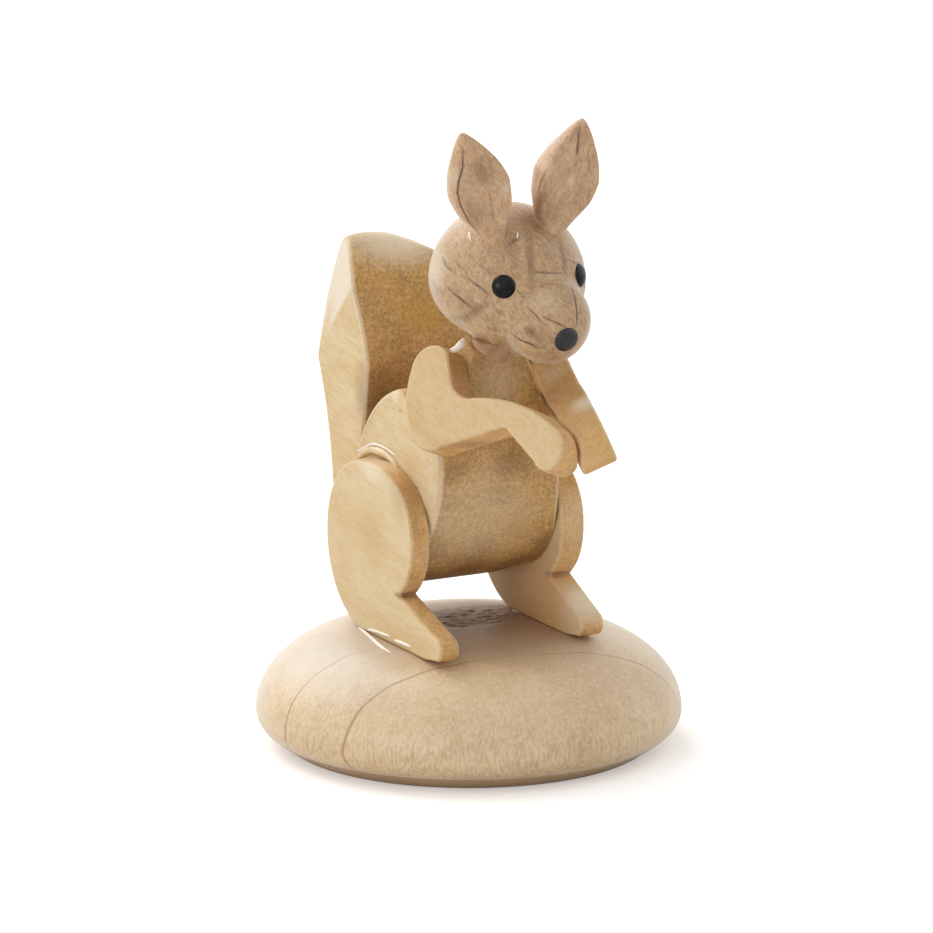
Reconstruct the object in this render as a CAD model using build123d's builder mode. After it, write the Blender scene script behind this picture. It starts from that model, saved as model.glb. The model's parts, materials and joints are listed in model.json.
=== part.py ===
"""Small wooden squirrel ornament: sawn and turned pieces glued together on a turned base, in millimetres.

The animal faces -Y, its right side is -X, and the underside of the base lies on Z = 0.
"""

import os
from math import acos, atan2, cos, hypot, pi, radians, sin, sqrt, tan

from build123d import *

# Turned base
base_radius = 20.2
base_height = 10.9

# Body and tail, sawn as one slice
body_width = 14.0
torso_height = 28.4
torso_depth = 20.9
tail_height = 36.1
tail_depth = 10.6
tail_bevel_turn = 10.0
tail_bevel_lean = 9.0
tail_bevel_setback = 0.75
tail_tip_slope = 24.5
tail_tip_drop = 0.6
belly_bevel_turn = 17.5
belly_bevel_setback = 2.1
neck_half_width = 2.36
neck_slope = 26.0

# Arms, glued to facets of the neck that turn in towards the front and lean in towards the top
arm_turn = 20.8
arm_lean = 23.5
arm_length = 20.3
arm_height = 9.9
right_arm_thickness = 3.1
left_arm_thickness = 3.5
hand_gap = 0.3

# Legs
haunch_depth = 17.3
haunch_height = 16.6
right_leg_thickness = 2.1
left_leg_thickness = 2.5
right_foot_reach = 11.4
left_foot_reach = 9.4
toe_height = 2.55

# Head
head_radius = 7.36
head_turn = 5.3
head_overhang = 7.58
head_bands = 8
muzzle_radius = 3.95
muzzle_reach = 6.95
muzzle_drop = 3.05
muzzle_blend = 11.0
muzzle_bands = 3

# Eyes and nose
eye_radius = 1.12
eye_spread = 36.0
eye_rise = 8.0
nose_radius = 1.2
nose_turn = -5.5
nose_tilt = 12.0
bead_seat = 0.5
bead_dome = 0.42

# Ears
ear_length = 10.6
ear_radius = 3.0
ear_thickness = 4.3
ear_lean = 18.0
right_ear_spacing = 3.75
right_ear_forward = 3.55
left_ear_spacing = 2.75
left_ear_forward = 4.2
ear_stem_radius = 0.95
ear_stem_length = 2.4

# Neck dowel
dowel_radius = 1.1
dowel_length = 8.0
dowel_setback = 1.9

# Clearances
glue_gap = 0.05
pin_clearance = 0.04
end_clearance = 0.2
cut_overrun = 5.0

# Outline of the base: shares of its radius and of its height, from the foot up to the flat top
base_shares = [(0.802, 0.0), (0.942, 0.092), (1.0, 0.312), (0.954, 0.60), (0.845, 0.80), (0.68, 0.945), (0.475, 1.0)]

# Outline of the body: shares of its depth, counted towards the tail, and of its height above the base
chest_share = (-0.297, 1.0)
belly_shares = [(-0.301, 0.66), (-0.277, 0.47), (-0.168, 0.304), (-0.057, 0.225), (0.086, 0.183)]
rump_shares = [(0.36, 0.108), (0.60, 0.17), (0.70, 0.39)]
hump_shares = [(0.402, 0.648), (0.224, 0.785), (-0.029, 0.854)]
nape_shares = [(-0.060, 0.90), (-0.075, 1.0)]

# Foot of the tail inside the body, in the same shares
tail_root_share = (0.30, 0.35)

# Outline of the tail: shares of its depth, counted from the rump, and of its height above the base
tail_rear_shares = [(0.089, 0.475), (0.3085, 0.663)]
tail_back_shares = [(0.283, 0.81), (0.14, 0.972)]
tail_tip_shares = [(0.022, 0.998), (-0.139, 0.975)]
tail_front_shares = [(-0.478, 0.845), (-0.69, 0.69), (-0.586, 0.50)]

# Outline of a haunch: shares of its depth, counted towards the tail, and of its height above the base
haunch_shares = [(0.30, 0.0), (0.60, 0.21), (0.682, 0.525), (0.555, 0.851), (0.202, 1.0), (0.017, 0.99),
                 (-0.15, 0.931), (-0.277, 0.80), (-0.318, 0.622), (-0.289, 0.46), (-0.168, 0.303)]
toe_shares = [(-0.31, 1.0), (0.0, 0.6), (-0.45, 0.13), (-1.3, 0.0)]

# Outline of an arm: shares of its length forwards and of its height upwards, from the neck's upper front corner
shoulder_shares = [(-0.052, -0.081), (-0.168, -0.05), (-0.239, -0.303), (-0.205, -0.697), (-0.116, -0.965),
                   (-0.037, -1.03), (0.056, -0.97)]
crook_share = (0.389, -0.667)
hand_shares = [(0.613, -0.929), (0.716, -0.975), (0.761, -0.798), (0.738, -0.646), (0.667, -0.556),
               (0.470, -0.434), (0.130, -0.465), (0.066, -0.439), (0.007, -0.313)]

# Outline of an ear: shares of its radius and of its length
ear_shares = [(0.47, 0.0), (0.86, 0.22), (1.0, 0.45), (0.90, 0.63), (0.54, 0.82), (0.10, 0.985)]


def placed(shares, depth, height, level=0.0, start=0.0):
    """Points of an outline, from their shares of a depth past a start and of a height above a level."""
    return [(start + share[0] * depth, level + share[1] * height) for share in shares]


def arcs(points):
    """Arcs through every second point of an outline, each starting where the last one ends."""
    for start in range(0, len(points) - 2, 2):
        ThreePointArc(*points[start:start + 3])


def rim(centre, radius, first_angle, last_angle, bands):
    """Points that share out a round outline in equal bands, the angles given in radians."""
    angles = [first_angle + (last_angle - first_angle) * band / bands for band in range(bands + 1)]
    return [centre + Vector(cos(angle), sin(angle)) * radius for angle in angles]


def head_direction(turn, rise):
    """Direction from the head's centre, turned sideways from its face and raised, in degrees."""
    heading = radians(head_turn + turn)
    level = cos(radians(rise))
    return Vector(sin(heading) * level, -cos(heading) * level, sin(radians(rise)))


def head_place(sideways, forward, up):
    """Point given from the head's centre, along the head's own directions."""
    heading = radians(head_turn)
    across = sideways * cos(heading) + forward * sin(heading)
    along = sideways * sin(heading) - forward * cos(heading)
    return head_centre + Vector(across, along, up)


def arm_facet(side):
    """Plane of the neck facet that carries an arm: its X runs forwards, its Z out for the right arm, in for the left."""
    turn = radians(arm_turn)
    lean = radians(arm_lean)
    forwards = Vector(-side * sin(turn), -cos(turn), 0)
    outwards = Vector(side * cos(turn) * cos(lean), -sin(turn) * cos(lean), sin(lean))
    corner = Vector(side * neck_half_width, chest_top[0], chest_top[1])
    return Plane(origin=corner, x_dir=forwards, z_dir=-side * outwards)


# Places that several pieces share: the chest's upper edge, the sloping seat behind it and the ball's centre
chest_top = placed([chest_share], torso_depth, torso_height, base_height)[0]
seat_reach = head_overhang + chest_top[0]
seat_direction = Vector(0, -sin(radians(neck_slope)), cos(radians(neck_slope)))
seat_depth = sqrt(head_radius**2 - (seat_reach / cos(radians(neck_slope)))**2)
head_centre = Vector(0, -head_overhang, chest_top[1] + seat_depth)
dowel_place = Vector(0, chest_top[0] + dowel_setback, chest_top[1] + dowel_setback * tan(radians(neck_slope)))

# Base: turned in narrow straight bands, flat in the middle, with a small bevel where it stands
with BuildPart() as base:
    with BuildSketch(Plane.XZ):
        with BuildLine():
            Polyline((0, 0), *placed(base_shares, base_radius, base_height), (0, base_height), (0, 0))
        make_face()
    revolve(axis=Axis.Z)
base.part.label = "base"

# Torso: one slice sawn in side view, with facets at the neck for the arms and bevels down the belly
with BuildPart() as body_with_tail:
    with BuildSketch(Plane.YZ):
        with BuildLine():
            belly = placed(belly_shares, torso_depth, torso_height, base_height)
            rump = placed(rump_shares, torso_depth, torso_height, base_height)
            hump = placed(hump_shares, torso_depth, torso_height, base_height)
            nape = placed(nape_shares, torso_depth, torso_height, base_height)
            neck_rear = (nape[1][0], chest_top[1] + (nape[1][0] - chest_top[0]) * tan(radians(neck_slope)))
            Line(chest_top, belly[0])
            arcs(belly)
            Line(belly[-1], rump[0])
            arcs(rump)
            Line(rump[-1], hump[0])
            arcs(hump)
            ThreePointArc(hump[-1], nape[0], nape[1])
            Line(nape[1], neck_rear)
            Line(neck_rear, chest_top)
        make_face()
    extrude(amount=body_width / 2, both=True)
    for side in (-1, 1):
        facet = arm_facet(side)
        split(bisect_by=facet, keep=Keep.BOTTOM if side < 0 else Keep.TOP)
        bevel_out = Vector(side * cos(radians(belly_bevel_turn)), -sin(radians(belly_bevel_turn)), 0)
        bevel_edge = Vector(side * body_width / 2, belly[0][0] + belly_bevel_setback, 0)
        split(bisect_by=Plane(origin=bevel_edge, z_dir=bevel_out), keep=Keep.BOTTOM)

    # Tail of the same slice, bevelled along both sides and sawn off askew at its tip
    with BuildSketch(Plane.YZ) as tail_outline:
        with BuildLine():
            rear = placed(tail_rear_shares, tail_depth, tail_height, base_height, rump[-1][0])
            back = placed(tail_back_shares, tail_depth, tail_height, base_height, rump[-1][0])
            tip = placed(tail_tip_shares, tail_depth, tail_height, base_height, rump[-1][0])
            front = placed(tail_front_shares, tail_depth, tail_height, base_height, rump[-1][0])
            arcs([rump[-1]] + rear)
            arcs([rear[-1]] + back)
            arcs([back[-1]] + tip)
            arcs([tip[-1]] + front[:2])
            root = placed([tail_root_share], torso_depth, torso_height, base_height)[0]
            Polyline(front[1], front[2], root, rump[-1])
        make_face()
    tail = extrude(tail_outline.sketch, amount=body_width / 2, both=True, mode=Mode.PRIVATE)
    for side in (-1, 1):
        level = cos(radians(tail_bevel_lean))
        bevel_out = Vector(side * cos(radians(tail_bevel_turn)) * level, sin(radians(tail_bevel_turn)) * level,
                           sin(radians(tail_bevel_lean)))
        bevel_edge = Vector(side * body_width / 2, rear[-1][0] - tail_bevel_setback, rear[-1][1])
        tail = tail.split(Plane(origin=bevel_edge, z_dir=bevel_out), keep=Keep.BOTTOM)
    tip_out = Vector(sin(radians(tail_tip_slope)), 0, cos(radians(tail_tip_slope)))
    tip_middle = Vector(0, tip[-1][0], base_height + tail_height - tail_tip_drop)
    tail = tail.split(Plane(origin=tip_middle, z_dir=tip_out), keep=Keep.BOTTOM)
    add(tail)

    # Hole for the neck dowel
    with Locations(dowel_place):
        Cylinder(dowel_radius + pin_clearance, dowel_length + 2 * end_clearance, mode=Mode.SUBTRACT)
body_with_tail.part.label = "body_with_tail"


def leg_outline(foot_reach):
    """Outline of a leg seen from the side: a round haunch over a foot that tapers to a rounded toe."""
    haunch = placed(haunch_shares, haunch_depth, haunch_height, base_height)
    toe = [(-foot_reach - point[0], point[1]) for point in placed(toe_shares, toe_height, toe_height, base_height)]
    arcs(haunch)
    Line(haunch[-1], toe[0])
    ThreePointArc(*toe[:3])
    Line(toe[2], toe[3])
    Line(toe[3], haunch[0])


# Legs: flat plates glued to the body's flanks, with a shorter foot on the left one
with BuildPart() as right_leg:
    with BuildSketch(Plane.YZ.offset(-body_width / 2)):
        with BuildLine():
            leg_outline(right_foot_reach)
        make_face()
    extrude(amount=-right_leg_thickness)
right_leg.part.label = "right_leg"

with BuildPart() as left_leg:
    with BuildSketch(Plane.YZ.offset(body_width / 2)):
        with BuildLine():
            leg_outline(left_foot_reach)
        make_face()
    extrude(amount=left_leg_thickness)
left_leg.part.label = "left_leg"


def arm_outline():
    """Outline of an arm: a shoulder over a bent elbow, and a forearm that ends in a rounded hand."""
    shoulder = placed(shoulder_shares, arm_length, arm_height)
    hand = placed(hand_shares, arm_length, arm_height)
    crook = placed([crook_share], arm_length, arm_height)[0]
    arcs(shoulder)
    Polyline(shoulder[-1], crook, hand[0])
    arcs(hand)
    Line(hand[-1], shoulder[0])


# Arms: flat plates glued to the facets of the neck, pared where the hands would meet
with BuildPart() as right_arm:
    with BuildSketch(arm_facet(-1)):
        with BuildLine():
            arm_outline()
        make_face()
    extrude(amount=right_arm_thickness)
    split(bisect_by=Plane.YZ.offset(-hand_gap / 2), keep=Keep.BOTTOM)
right_arm.part.label = "right_arm"

with BuildPart() as left_arm:
    with BuildSketch(arm_facet(1)):
        with BuildLine():
            arm_outline()
        make_face()
    extrude(amount=-left_arm_thickness)
    split(bisect_by=Plane.YZ.offset(hand_gap / 2), keep=Keep.TOP)
left_arm.part.label = "left_arm"

# Places on the head
muzzle_length = hypot(muzzle_reach, muzzle_drop)
muzzle_centre = head_place(0, muzzle_reach, -muzzle_drop)
nose_direction = head_direction(nose_turn, -nose_tilt)


def bead_seat_plane(centre, radius, direction):
    """Plane at the floor of a bead's seat, on a ball of a radius about a centre."""
    return Plane(origin=centre + direction * (radius - bead_seat), z_dir=direction)


def eye_plane(side):
    """Floor of an eye's seat."""
    return bead_seat_plane(head_centre, head_radius, head_direction(side * eye_spread, eye_rise))


def ear_plane(side, spacing, forward):
    """Plane at the foot of an ear, with its Z along the ear and its Y towards the back of the head."""
    heading = radians(head_turn)
    lean = radians(ear_lean)
    rise = sqrt(head_radius**2 - spacing**2 - forward**2)
    along = Vector(side * sin(lean) * cos(heading), side * sin(lean) * sin(heading), cos(lean))
    backwards = Vector(-sin(heading), cos(heading), 0)
    return Plane(origin=head_place(side * spacing, forward, rise), x_dir=backwards.cross(along), z_dir=along)


right_ear_plane = ear_plane(-1, right_ear_spacing, right_ear_forward)
left_ear_plane = ear_plane(1, left_ear_spacing, left_ear_forward)


def bead(radius):
    """Half of a bead's outline: a flat foot, a straight side in its seat and a low dome."""
    shoulder = bead_seat - radius**2 / (2 * head_radius)
    Polyline((0, bead_seat + bead_dome), (0, glue_gap), (radius, glue_gap), (radius, shoulder))
    dome_height = bead_seat + bead_dome - shoulder
    RadiusArc((radius, shoulder), (0, bead_seat + bead_dome), -(radius**2 + dome_height**2) / (2 * dome_height))


# Head: ball and muzzle turned in bands about one axis, with a flat seat for the neck and holes for what it carries
with BuildPart() as head:
    muzzle_axis = Axis(head_centre, muzzle_centre - head_centre)
    with BuildSketch(Plane(origin=head_centre, x_dir=muzzle_axis.direction, z_dir=head_direction(90, 0))):
        with BuildLine():
            blend_reach = head_radius + muzzle_blend
            ball_angle = acos((muzzle_length**2 + blend_reach**2 - (muzzle_radius + muzzle_blend)**2)
                              / (2 * muzzle_length * blend_reach))
            blend_centre = Vector(cos(ball_angle), sin(ball_angle)) * blend_reach
            muzzle_middle = Vector(muzzle_length, 0)
            from_muzzle = blend_centre - muzzle_middle
            muzzle_angle = atan2(from_muzzle.Y, from_muzzle.X)
            hollow = muzzle_middle + from_muzzle.normalized() * muzzle_radius
            hollow = (hollow + Vector(cos(ball_angle), sin(ball_angle)) * head_radius) / 2 - blend_centre
            hollow = blend_centre + hollow.normalized() * muzzle_blend
            ball = rim(Vector(0, 0), head_radius, pi, ball_angle, head_bands)
            muzzle = rim(muzzle_middle, muzzle_radius, muzzle_angle, 0, muzzle_bands)
            Polyline(*ball, hollow, *muzzle, ball[0])
        make_face()
    revolve(axis=muzzle_axis)
    split(bisect_by=Plane(origin=(0, chest_top[0], chest_top[1]), z_dir=seat_direction), keep=Keep.TOP)
    with Locations(dowel_place):
        Cylinder(dowel_radius + pin_clearance, dowel_length + 2 * end_clearance, mode=Mode.SUBTRACT)
    for side in (-1, 1):
        with Locations(eye_plane(side)):
            Cylinder(eye_radius + pin_clearance, cut_overrun, align=(Align.CENTER, Align.CENTER, Align.MIN),
                     mode=Mode.SUBTRACT)
    for foot in (right_ear_plane, left_ear_plane):
        with Locations(foot.offset(-ear_stem_length - end_clearance)):
            Cylinder(ear_stem_radius + pin_clearance, ear_stem_length + cut_overrun,
                     align=(Align.CENTER, Align.CENTER, Align.MIN), mode=Mode.SUBTRACT)
    with Locations(bead_seat_plane(muzzle_centre, muzzle_radius, nose_direction)):
        Cylinder(nose_radius + pin_clearance, cut_overrun, align=(Align.CENTER, Align.CENTER, Align.MIN),
                 mode=Mode.SUBTRACT)
head.part.label = "head"


# Ears: each a turned spindle with its front pared flat, hollowed where it meets the ball, on a stem
with BuildPart() as ear_blank:
    with BuildSketch(Plane.XZ):
        with BuildLine():
            leaf = placed(ear_shares, ear_radius, ear_length)
            Polyline((0, 0), *leaf, (0, ear_length), (0, 0))
        make_face()
    revolve(axis=Axis.Z)
    split(bisect_by=Plane.XZ.offset(ear_thickness - ear_radius), keep=Keep.BOTTOM)
right_ear_blank = right_ear_plane.location * ear_blank.part
left_ear_blank = left_ear_plane.location * ear_blank.part

with BuildPart() as right_ear:
    add(right_ear_blank)
    with Locations(head_centre):
        Sphere(head_radius + glue_gap, mode=Mode.SUBTRACT)
    with Locations(right_ear_plane.offset(-ear_stem_length)):
        Cylinder(ear_stem_radius, ear_stem_length + ear_radius, align=(Align.CENTER, Align.CENTER, Align.MIN))
right_ear.part.label = "right_ear"

with BuildPart() as left_ear:
    add(left_ear_blank)
    with Locations(head_centre):
        Sphere(head_radius + glue_gap, mode=Mode.SUBTRACT)
    with Locations(left_ear_plane.offset(-ear_stem_length)):
        Cylinder(ear_stem_radius, ear_stem_length + ear_radius, align=(Align.CENTER, Align.CENTER, Align.MIN))
left_ear.part.label = "left_ear"

# Eyes and nose: low domes in their seats
with BuildPart() as right_eye:
    with BuildSketch(Plane(origin=eye_plane(-1).origin, x_dir=eye_plane(-1).x_dir, z_dir=-eye_plane(-1).y_dir)):
        with BuildLine():
            bead(eye_radius)
        make_face()
    revolve(axis=Axis(eye_plane(-1).origin, eye_plane(-1).z_dir))
right_eye.part.label = "right_eye"

with BuildPart() as left_eye:
    with BuildSketch(Plane(origin=eye_plane(1).origin, x_dir=eye_plane(1).x_dir, z_dir=-eye_plane(1).y_dir)):
        with BuildLine():
            bead(eye_radius)
        make_face()
    revolve(axis=Axis(eye_plane(1).origin, eye_plane(1).z_dir))
left_eye.part.label = "left_eye"

nose_plane = bead_seat_plane(muzzle_centre, muzzle_radius, nose_direction)
with BuildPart() as nose:
    with BuildSketch(Plane(origin=nose_plane.origin, x_dir=nose_plane.x_dir, z_dir=-nose_plane.y_dir)):
        with BuildLine():
            bead(nose_radius)
        make_face()
    revolve(axis=Axis(nose_plane.origin, nose_plane.z_dir))
nose.part.label = "nose"

# Dowel inside the neck
with BuildPart() as neck_dowel:
    with Locations(dowel_place):
        Cylinder(dowel_radius, dowel_length)
neck_dowel.part.label = "neck_dowel"

os.makedirs("parts", exist_ok=True)
export_step(base.part, "parts/base.step")
export_step(body_with_tail.part, "parts/body_with_tail.step")
export_step(right_leg.part, "parts/right_leg.step")
export_step(left_leg.part, "parts/left_leg.step")
export_step(right_arm.part, "parts/right_arm.step")
export_step(left_arm.part, "parts/left_arm.step")
export_step(head.part, "parts/head.step")
export_step(right_ear.part, "parts/right_ear.step")
export_step(left_ear.part, "parts/left_ear.step")
export_step(right_eye.part, "parts/right_eye.step")
export_step(left_eye.part, "parts/left_eye.step")
export_step(nose.part, "parts/nose.step")
export_step(neck_dowel.part, "parts/neck_dowel.step")
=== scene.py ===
"""Finish of a small wooden squirrel ornament, glued from turned and sawn pieces, laid out as an add-on.

Lengths in the code are millimetres unless a name says otherwise; MM turns them to Blender's metres.
"""

import json
import math

import bpy
import numpy as np
from mathutils import Matrix, Vector

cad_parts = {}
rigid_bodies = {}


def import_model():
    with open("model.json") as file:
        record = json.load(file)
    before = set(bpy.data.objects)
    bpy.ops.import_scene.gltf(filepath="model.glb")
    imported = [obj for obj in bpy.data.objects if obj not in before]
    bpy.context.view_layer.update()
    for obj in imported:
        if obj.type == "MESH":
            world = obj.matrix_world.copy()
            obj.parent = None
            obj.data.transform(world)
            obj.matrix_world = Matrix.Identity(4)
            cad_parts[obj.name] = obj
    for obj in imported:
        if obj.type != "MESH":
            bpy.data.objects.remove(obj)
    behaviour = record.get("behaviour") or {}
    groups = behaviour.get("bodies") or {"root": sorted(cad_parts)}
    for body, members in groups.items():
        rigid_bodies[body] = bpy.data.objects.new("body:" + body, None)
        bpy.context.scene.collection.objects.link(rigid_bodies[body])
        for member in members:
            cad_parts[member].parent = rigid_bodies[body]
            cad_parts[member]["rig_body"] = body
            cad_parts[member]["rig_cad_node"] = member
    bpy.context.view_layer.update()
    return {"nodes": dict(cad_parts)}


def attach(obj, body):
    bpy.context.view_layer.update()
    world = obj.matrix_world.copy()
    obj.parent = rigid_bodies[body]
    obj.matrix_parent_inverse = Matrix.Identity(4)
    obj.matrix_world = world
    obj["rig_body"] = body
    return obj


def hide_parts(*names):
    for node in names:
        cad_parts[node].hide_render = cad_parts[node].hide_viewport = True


bl_info = {
    "name": "Wooden squirrel ornament",
    "version": (1, 0, 0),
    "blender": (4, 5, 0),
    "location": "View3D > Sidebar > Squirrel",
    "description": "Turned base and head, sawn body, tail and limbs, pared ears, bead eyes and glue",
    "category": "Add Mesh",
}

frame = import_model()

MM = 0.001
BODY = "root"

# The photograph's view: its side in pixels, the camera's turn round the object and its rise in degrees, its distance,
# the pixels in a millimetre, the point at the image's middle and how many pixels the axis lies off it
PHOTO_SIDE = 933
VIEW_TURN = -28.0
VIEW_RISE = 13.92
VIEW_DISTANCE = 1000.0
VIEW_SCALE = 10.6
VIEW_AIM = Vector((0.0, 0.0, 26.76))
VIEW_OFFSET = 2.35

# The base: radius of its flat top, height of its widest place, centre and drop of the arc below it, radius of its
# foot; where its grain is torn, and how far apart its growth rings lie
BASE_FLAT_RADIUS = 9.6
BASE_WIDEST_HEIGHT = 3.4
BASE_LOWER_CENTRE = 17.6
BASE_LOWER_DROP = 2.39
BASE_FOOT_RADIUS = 17.0
TORN_PLACE = (2.4, 3.9)
RING_GAP = 7.8

# The sawn slice: half its width, where it is cut across so that it can bow, where its tail's top begins and how far
# that takes to start, and the stretch of the tail's tip whose doubled points are merged
BODY_HALF_WIDTH = 7.0
BODY_CUTS = (-5.0, -4.3, -3.7, -3.1, -2.5, -1.9, -1.5, -1.1, -0.7, -0.3, 0.1, 0.7, 1.5, 2.4, 3.3, 4.2, 5.0)
TAIL_TOP_FROM = 41.5
TAIL_TOP_START = 3.5
TAIL_TIP_BACK = (15.78, 16.03)
TAIL_TIP_FROM = 45.9
TAIL_TIP_GAP = 0.27

# Painted light on the tail's top, paler where it faces up, as the place, sizes and strength of a patch; and the way
# its sanded flat faces on the left, alike on the right, where a pale sheen is painted into the colour
TAIL_PAINTED_LIGHT = ((0, 14.0, 47.0), (9.0, 6.0, 5.0), 0.85)
TAIL_FACET = (0.97, 0.17, 0.16)

# Sawn edges are rubbed round where their faces meet at more than an angle, in degrees. A face there counts as rim,
# painted pale as rubbed wood and as painted highlight, where it is narrower than this share of the rounding and neither
# along the broad side nor square to it
SHARP_EDGE = 42
RIM_NARROW = 0.75
RIM_SLANT = (0.12, 0.985)

# The neck: no pale rim, of rubbed wood and painted highlight, above a height and in front of a depth; its back corners
# are pared along a line seen in the photograph, again above a height and in front of a depth
NECK_RIM_FROM = 34.0
NECK_RIM_BACK = 4.0
NECK_CUT = ((448.5, 351.0), (464.5, 337.0))
NECK_CUT_FROM = 36.0
NECK_CUT_BACK = 3.0

# The arms' planes, in degrees: turned in towards the front and leaning in towards the top
ARM_TURN = 20.8
ARM_LEAN = 23.5

# The head's places: ball centre, turn of the face, and the muzzle ahead of and below the centre
HEAD_CENTRE = Vector((0.0, -7.58, 46.34))
HEAD_TURN = 5.3
MUZZLE_REACH = 6.8
MUZZLE_DROP = 2.5
# Flat sanded under the ball: its turn in the photograph's view and its spread in degrees, its depth, and how far ahead
# of the centre it ends
SANDED_TURN = 115
SANDED_SPREAD = 72
SANDED_DEPTH = 1.3
SANDED_AHEAD = 5.2

# Eyes and nose: their turn from the face and their rise, in degrees, and how far they sit in their seats
EYE_TURN, EYE_RISE = 36.0, 8.0
NOSE_TURN, NOSE_RISE = -5.8, -16.0
BEAD_SEAT = 0.5

# Where the lamps point, in metres
LAMP_AIM = Vector((0, 0, 0.03))

# The plane on which the ears' fronts are pared: how far in front of the axis it lies and how much it leans
EAR_PARED_AT = 1.45
EAR_PARED_LEAN = 0.14
# Half outline of an ear: distance from its axis and height from its foot
EAR_OUTLINE = [(0.0, -0.9), (0.7, -0.75), (1.0, 0.0), (1.3, 0.65), (2.05, 2.0), (2.6, 3.05), (2.93, 4.4), (3.0, 5.3),
               (2.52, 7.0), (1.7, 8.5), (1.05, 9.5), (0.4, 10.3), (0.0, 10.6)]

# Lines of grain on the head, and broad bands of painted shade among them: where each runs in the photograph, its
# half width and its strength
HEAD_LINES = [
    ([(442, 257), (447, 267), (455, 273)], 0.11, 0.8),
    ([(431, 280), (437, 288), (444, 295)], 0.10, 0.5),
    ([(447, 287), (453, 293), (463, 301), (472, 308)], 0.12, 1.0),
    ([(466, 276), (473, 282), (482, 289), (491, 296)], 0.12, 0.8),
    # painted shade: a broad soft band below the eye
    ([(489, 297), (483, 307), (474, 314), (463, 319), (454, 318)], 0.45, 0.35),
    ([(517, 290), (524, 297)], 0.11, 0.6),
    ([(528, 232), (530, 248), (531, 266), (532, 286)], 0.42, 0.45),
    ([(532, 272), (548, 273), (564, 273)], 0.12, 0.7),
    ([(559, 240), (563, 254), (565, 274)], 0.30, 0.45),
    ([(571, 286), (575, 298), (577, 312), (577, 326)], 0.13, 0.9),
    ([(540, 287), (552, 283), (566, 286)], 0.2, 0.3),
    ([(528, 308), (535, 314), (541, 321)], 0.12, 0.7),
    ([(543, 317), (555, 322), (566, 327)], 0.11, 0.7),
    ([(513, 335), (520, 340), (533, 345), (538, 348)], 0.12, 1.0),
    ([(526, 330), (533, 334), (540, 338)], 0.40, 0.4),
    ([(510, 244), (515, 240), (519, 233)], 0.2, 0.6),
    # painted shade: the dark edge under the ball
    ([(474, 343), (484, 346), (499, 346)], 0.22, 0.7),
    ([(476, 262), (484, 268), (492, 273)], 0.09, 0.4),
    ([(455, 262), (464, 270), (470, 276)], 0.09, 0.4),
    ([(492, 306), (499, 312), (505, 318)], 0.10, 0.45),
    ([(487, 326), (495, 331), (501, 334)], 0.10, 0.4),
]
# The head's lines are drawn again, turned about it by these angles in degrees
HEAD_LINE_TURNS = (118, 200)
# Crease where the cheek meets the muzzle: its half width, its depth, and its line in pixels
CREASE_WIDTH = 0.7
CREASE_DEPTH = 0.25
CHEEK_CREASE = [(512, 306), (506, 314), (503, 325), (502, 336), (504, 346)]

# Lines on the ears' pared fronts; a broad soft one low on the far ear is painted shadow where it meets the head
NEAR_EAR_LINES = [
    ([(463, 150), (463, 167), (459, 182), (457, 193), (461, 207), (469, 222), (480, 235)], 0.13, 1.0),
    ([(476, 163), (480, 172), (486, 182)], 0.5, 0.3),
    ([(489, 190), (492, 205), (494, 222)], 0.1, 0.35),
]
FAR_EAR_LINES = [
    ([(580, 127), (578, 145), (576, 165)], 0.12, 0.95),
    ([(546, 170), (541, 182), (538, 193)], 0.12, 0.7),
    # painted shadow where the far ear meets the head
    ([(545, 190), (538, 204), (537, 216), (545, 229)], 0.5, 0.6),
    ([(570, 208), (562, 222), (556, 232)], 0.12, 0.6),
    ([(588, 150), (590, 172)], 0.1, 0.4),
]

# The nib at the throat: the depth at which it lies, how thick it is, and its corners in pixels
NIB_PLACE = -6.75
NIB_THICK = 1.6
NIB_CORNERS = ((478, 344), (514, 344), (510.5, 357.5), (501.5, 365), (481, 353))

# Darker and paler patches: pixel, radius or radii, strength and tint; some are the wood's own tones, many are painted
# light and shade
NEAR_EAR_PATCHES = [((482, 170), 2.2, 0.3, "head_fleck_and_shade"), ((455, 178), 1.6, 0.25, "rim"),
                    ((475, 215), 2.6, 0.25, "head_fleck_and_shade"), ((505, 190), 1.1, 0.25, "rim")]
# on the far ear: painted shadow where it meets the head at lower left, a painted highlight on its left edge
FAR_EAR_PATCHES = [((571, 182), 0.9, 0.25, "rim"), ((550, 212), 2.0, 0.45, "head_fleck_and_shade"),
                   ((546, 168), 1.4, 0.3, "rim"), ((582, 135), 1.6, 0.25, "head_fleck_and_shade")]
# on the head: painted shade under the ball and between the ears, painted light on its left side
HEAD_PATCHES = [((474, 308), 1.0, 0.4, "head_fleck_and_shade"), ((466, 300), 1.2, 0.3, "head_fleck_and_shade"),
                ((530, 331), 0.9, 0.4, "head_fleck_and_shade"), ((534, 222), 2.6, 0.45, "head_fleck_and_shade"),
                ((512, 248), 1.2, 0.3, "head_fleck_and_shade"), ((548, 350), 2.6, 0.25, "head_fleck_and_shade"),
                ((487, 240), 2.0, 0.2, "rim"), ((436, 270), 3.0, 0.45, "rim"), ((545, 300), 2.0, 0.2, "rim"),
                ((517, 268), 1.2, 0.25, "head_fleck_and_shade"), ((500, 345), 1.8, 0.3, "head_fleck_and_shade")]
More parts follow.
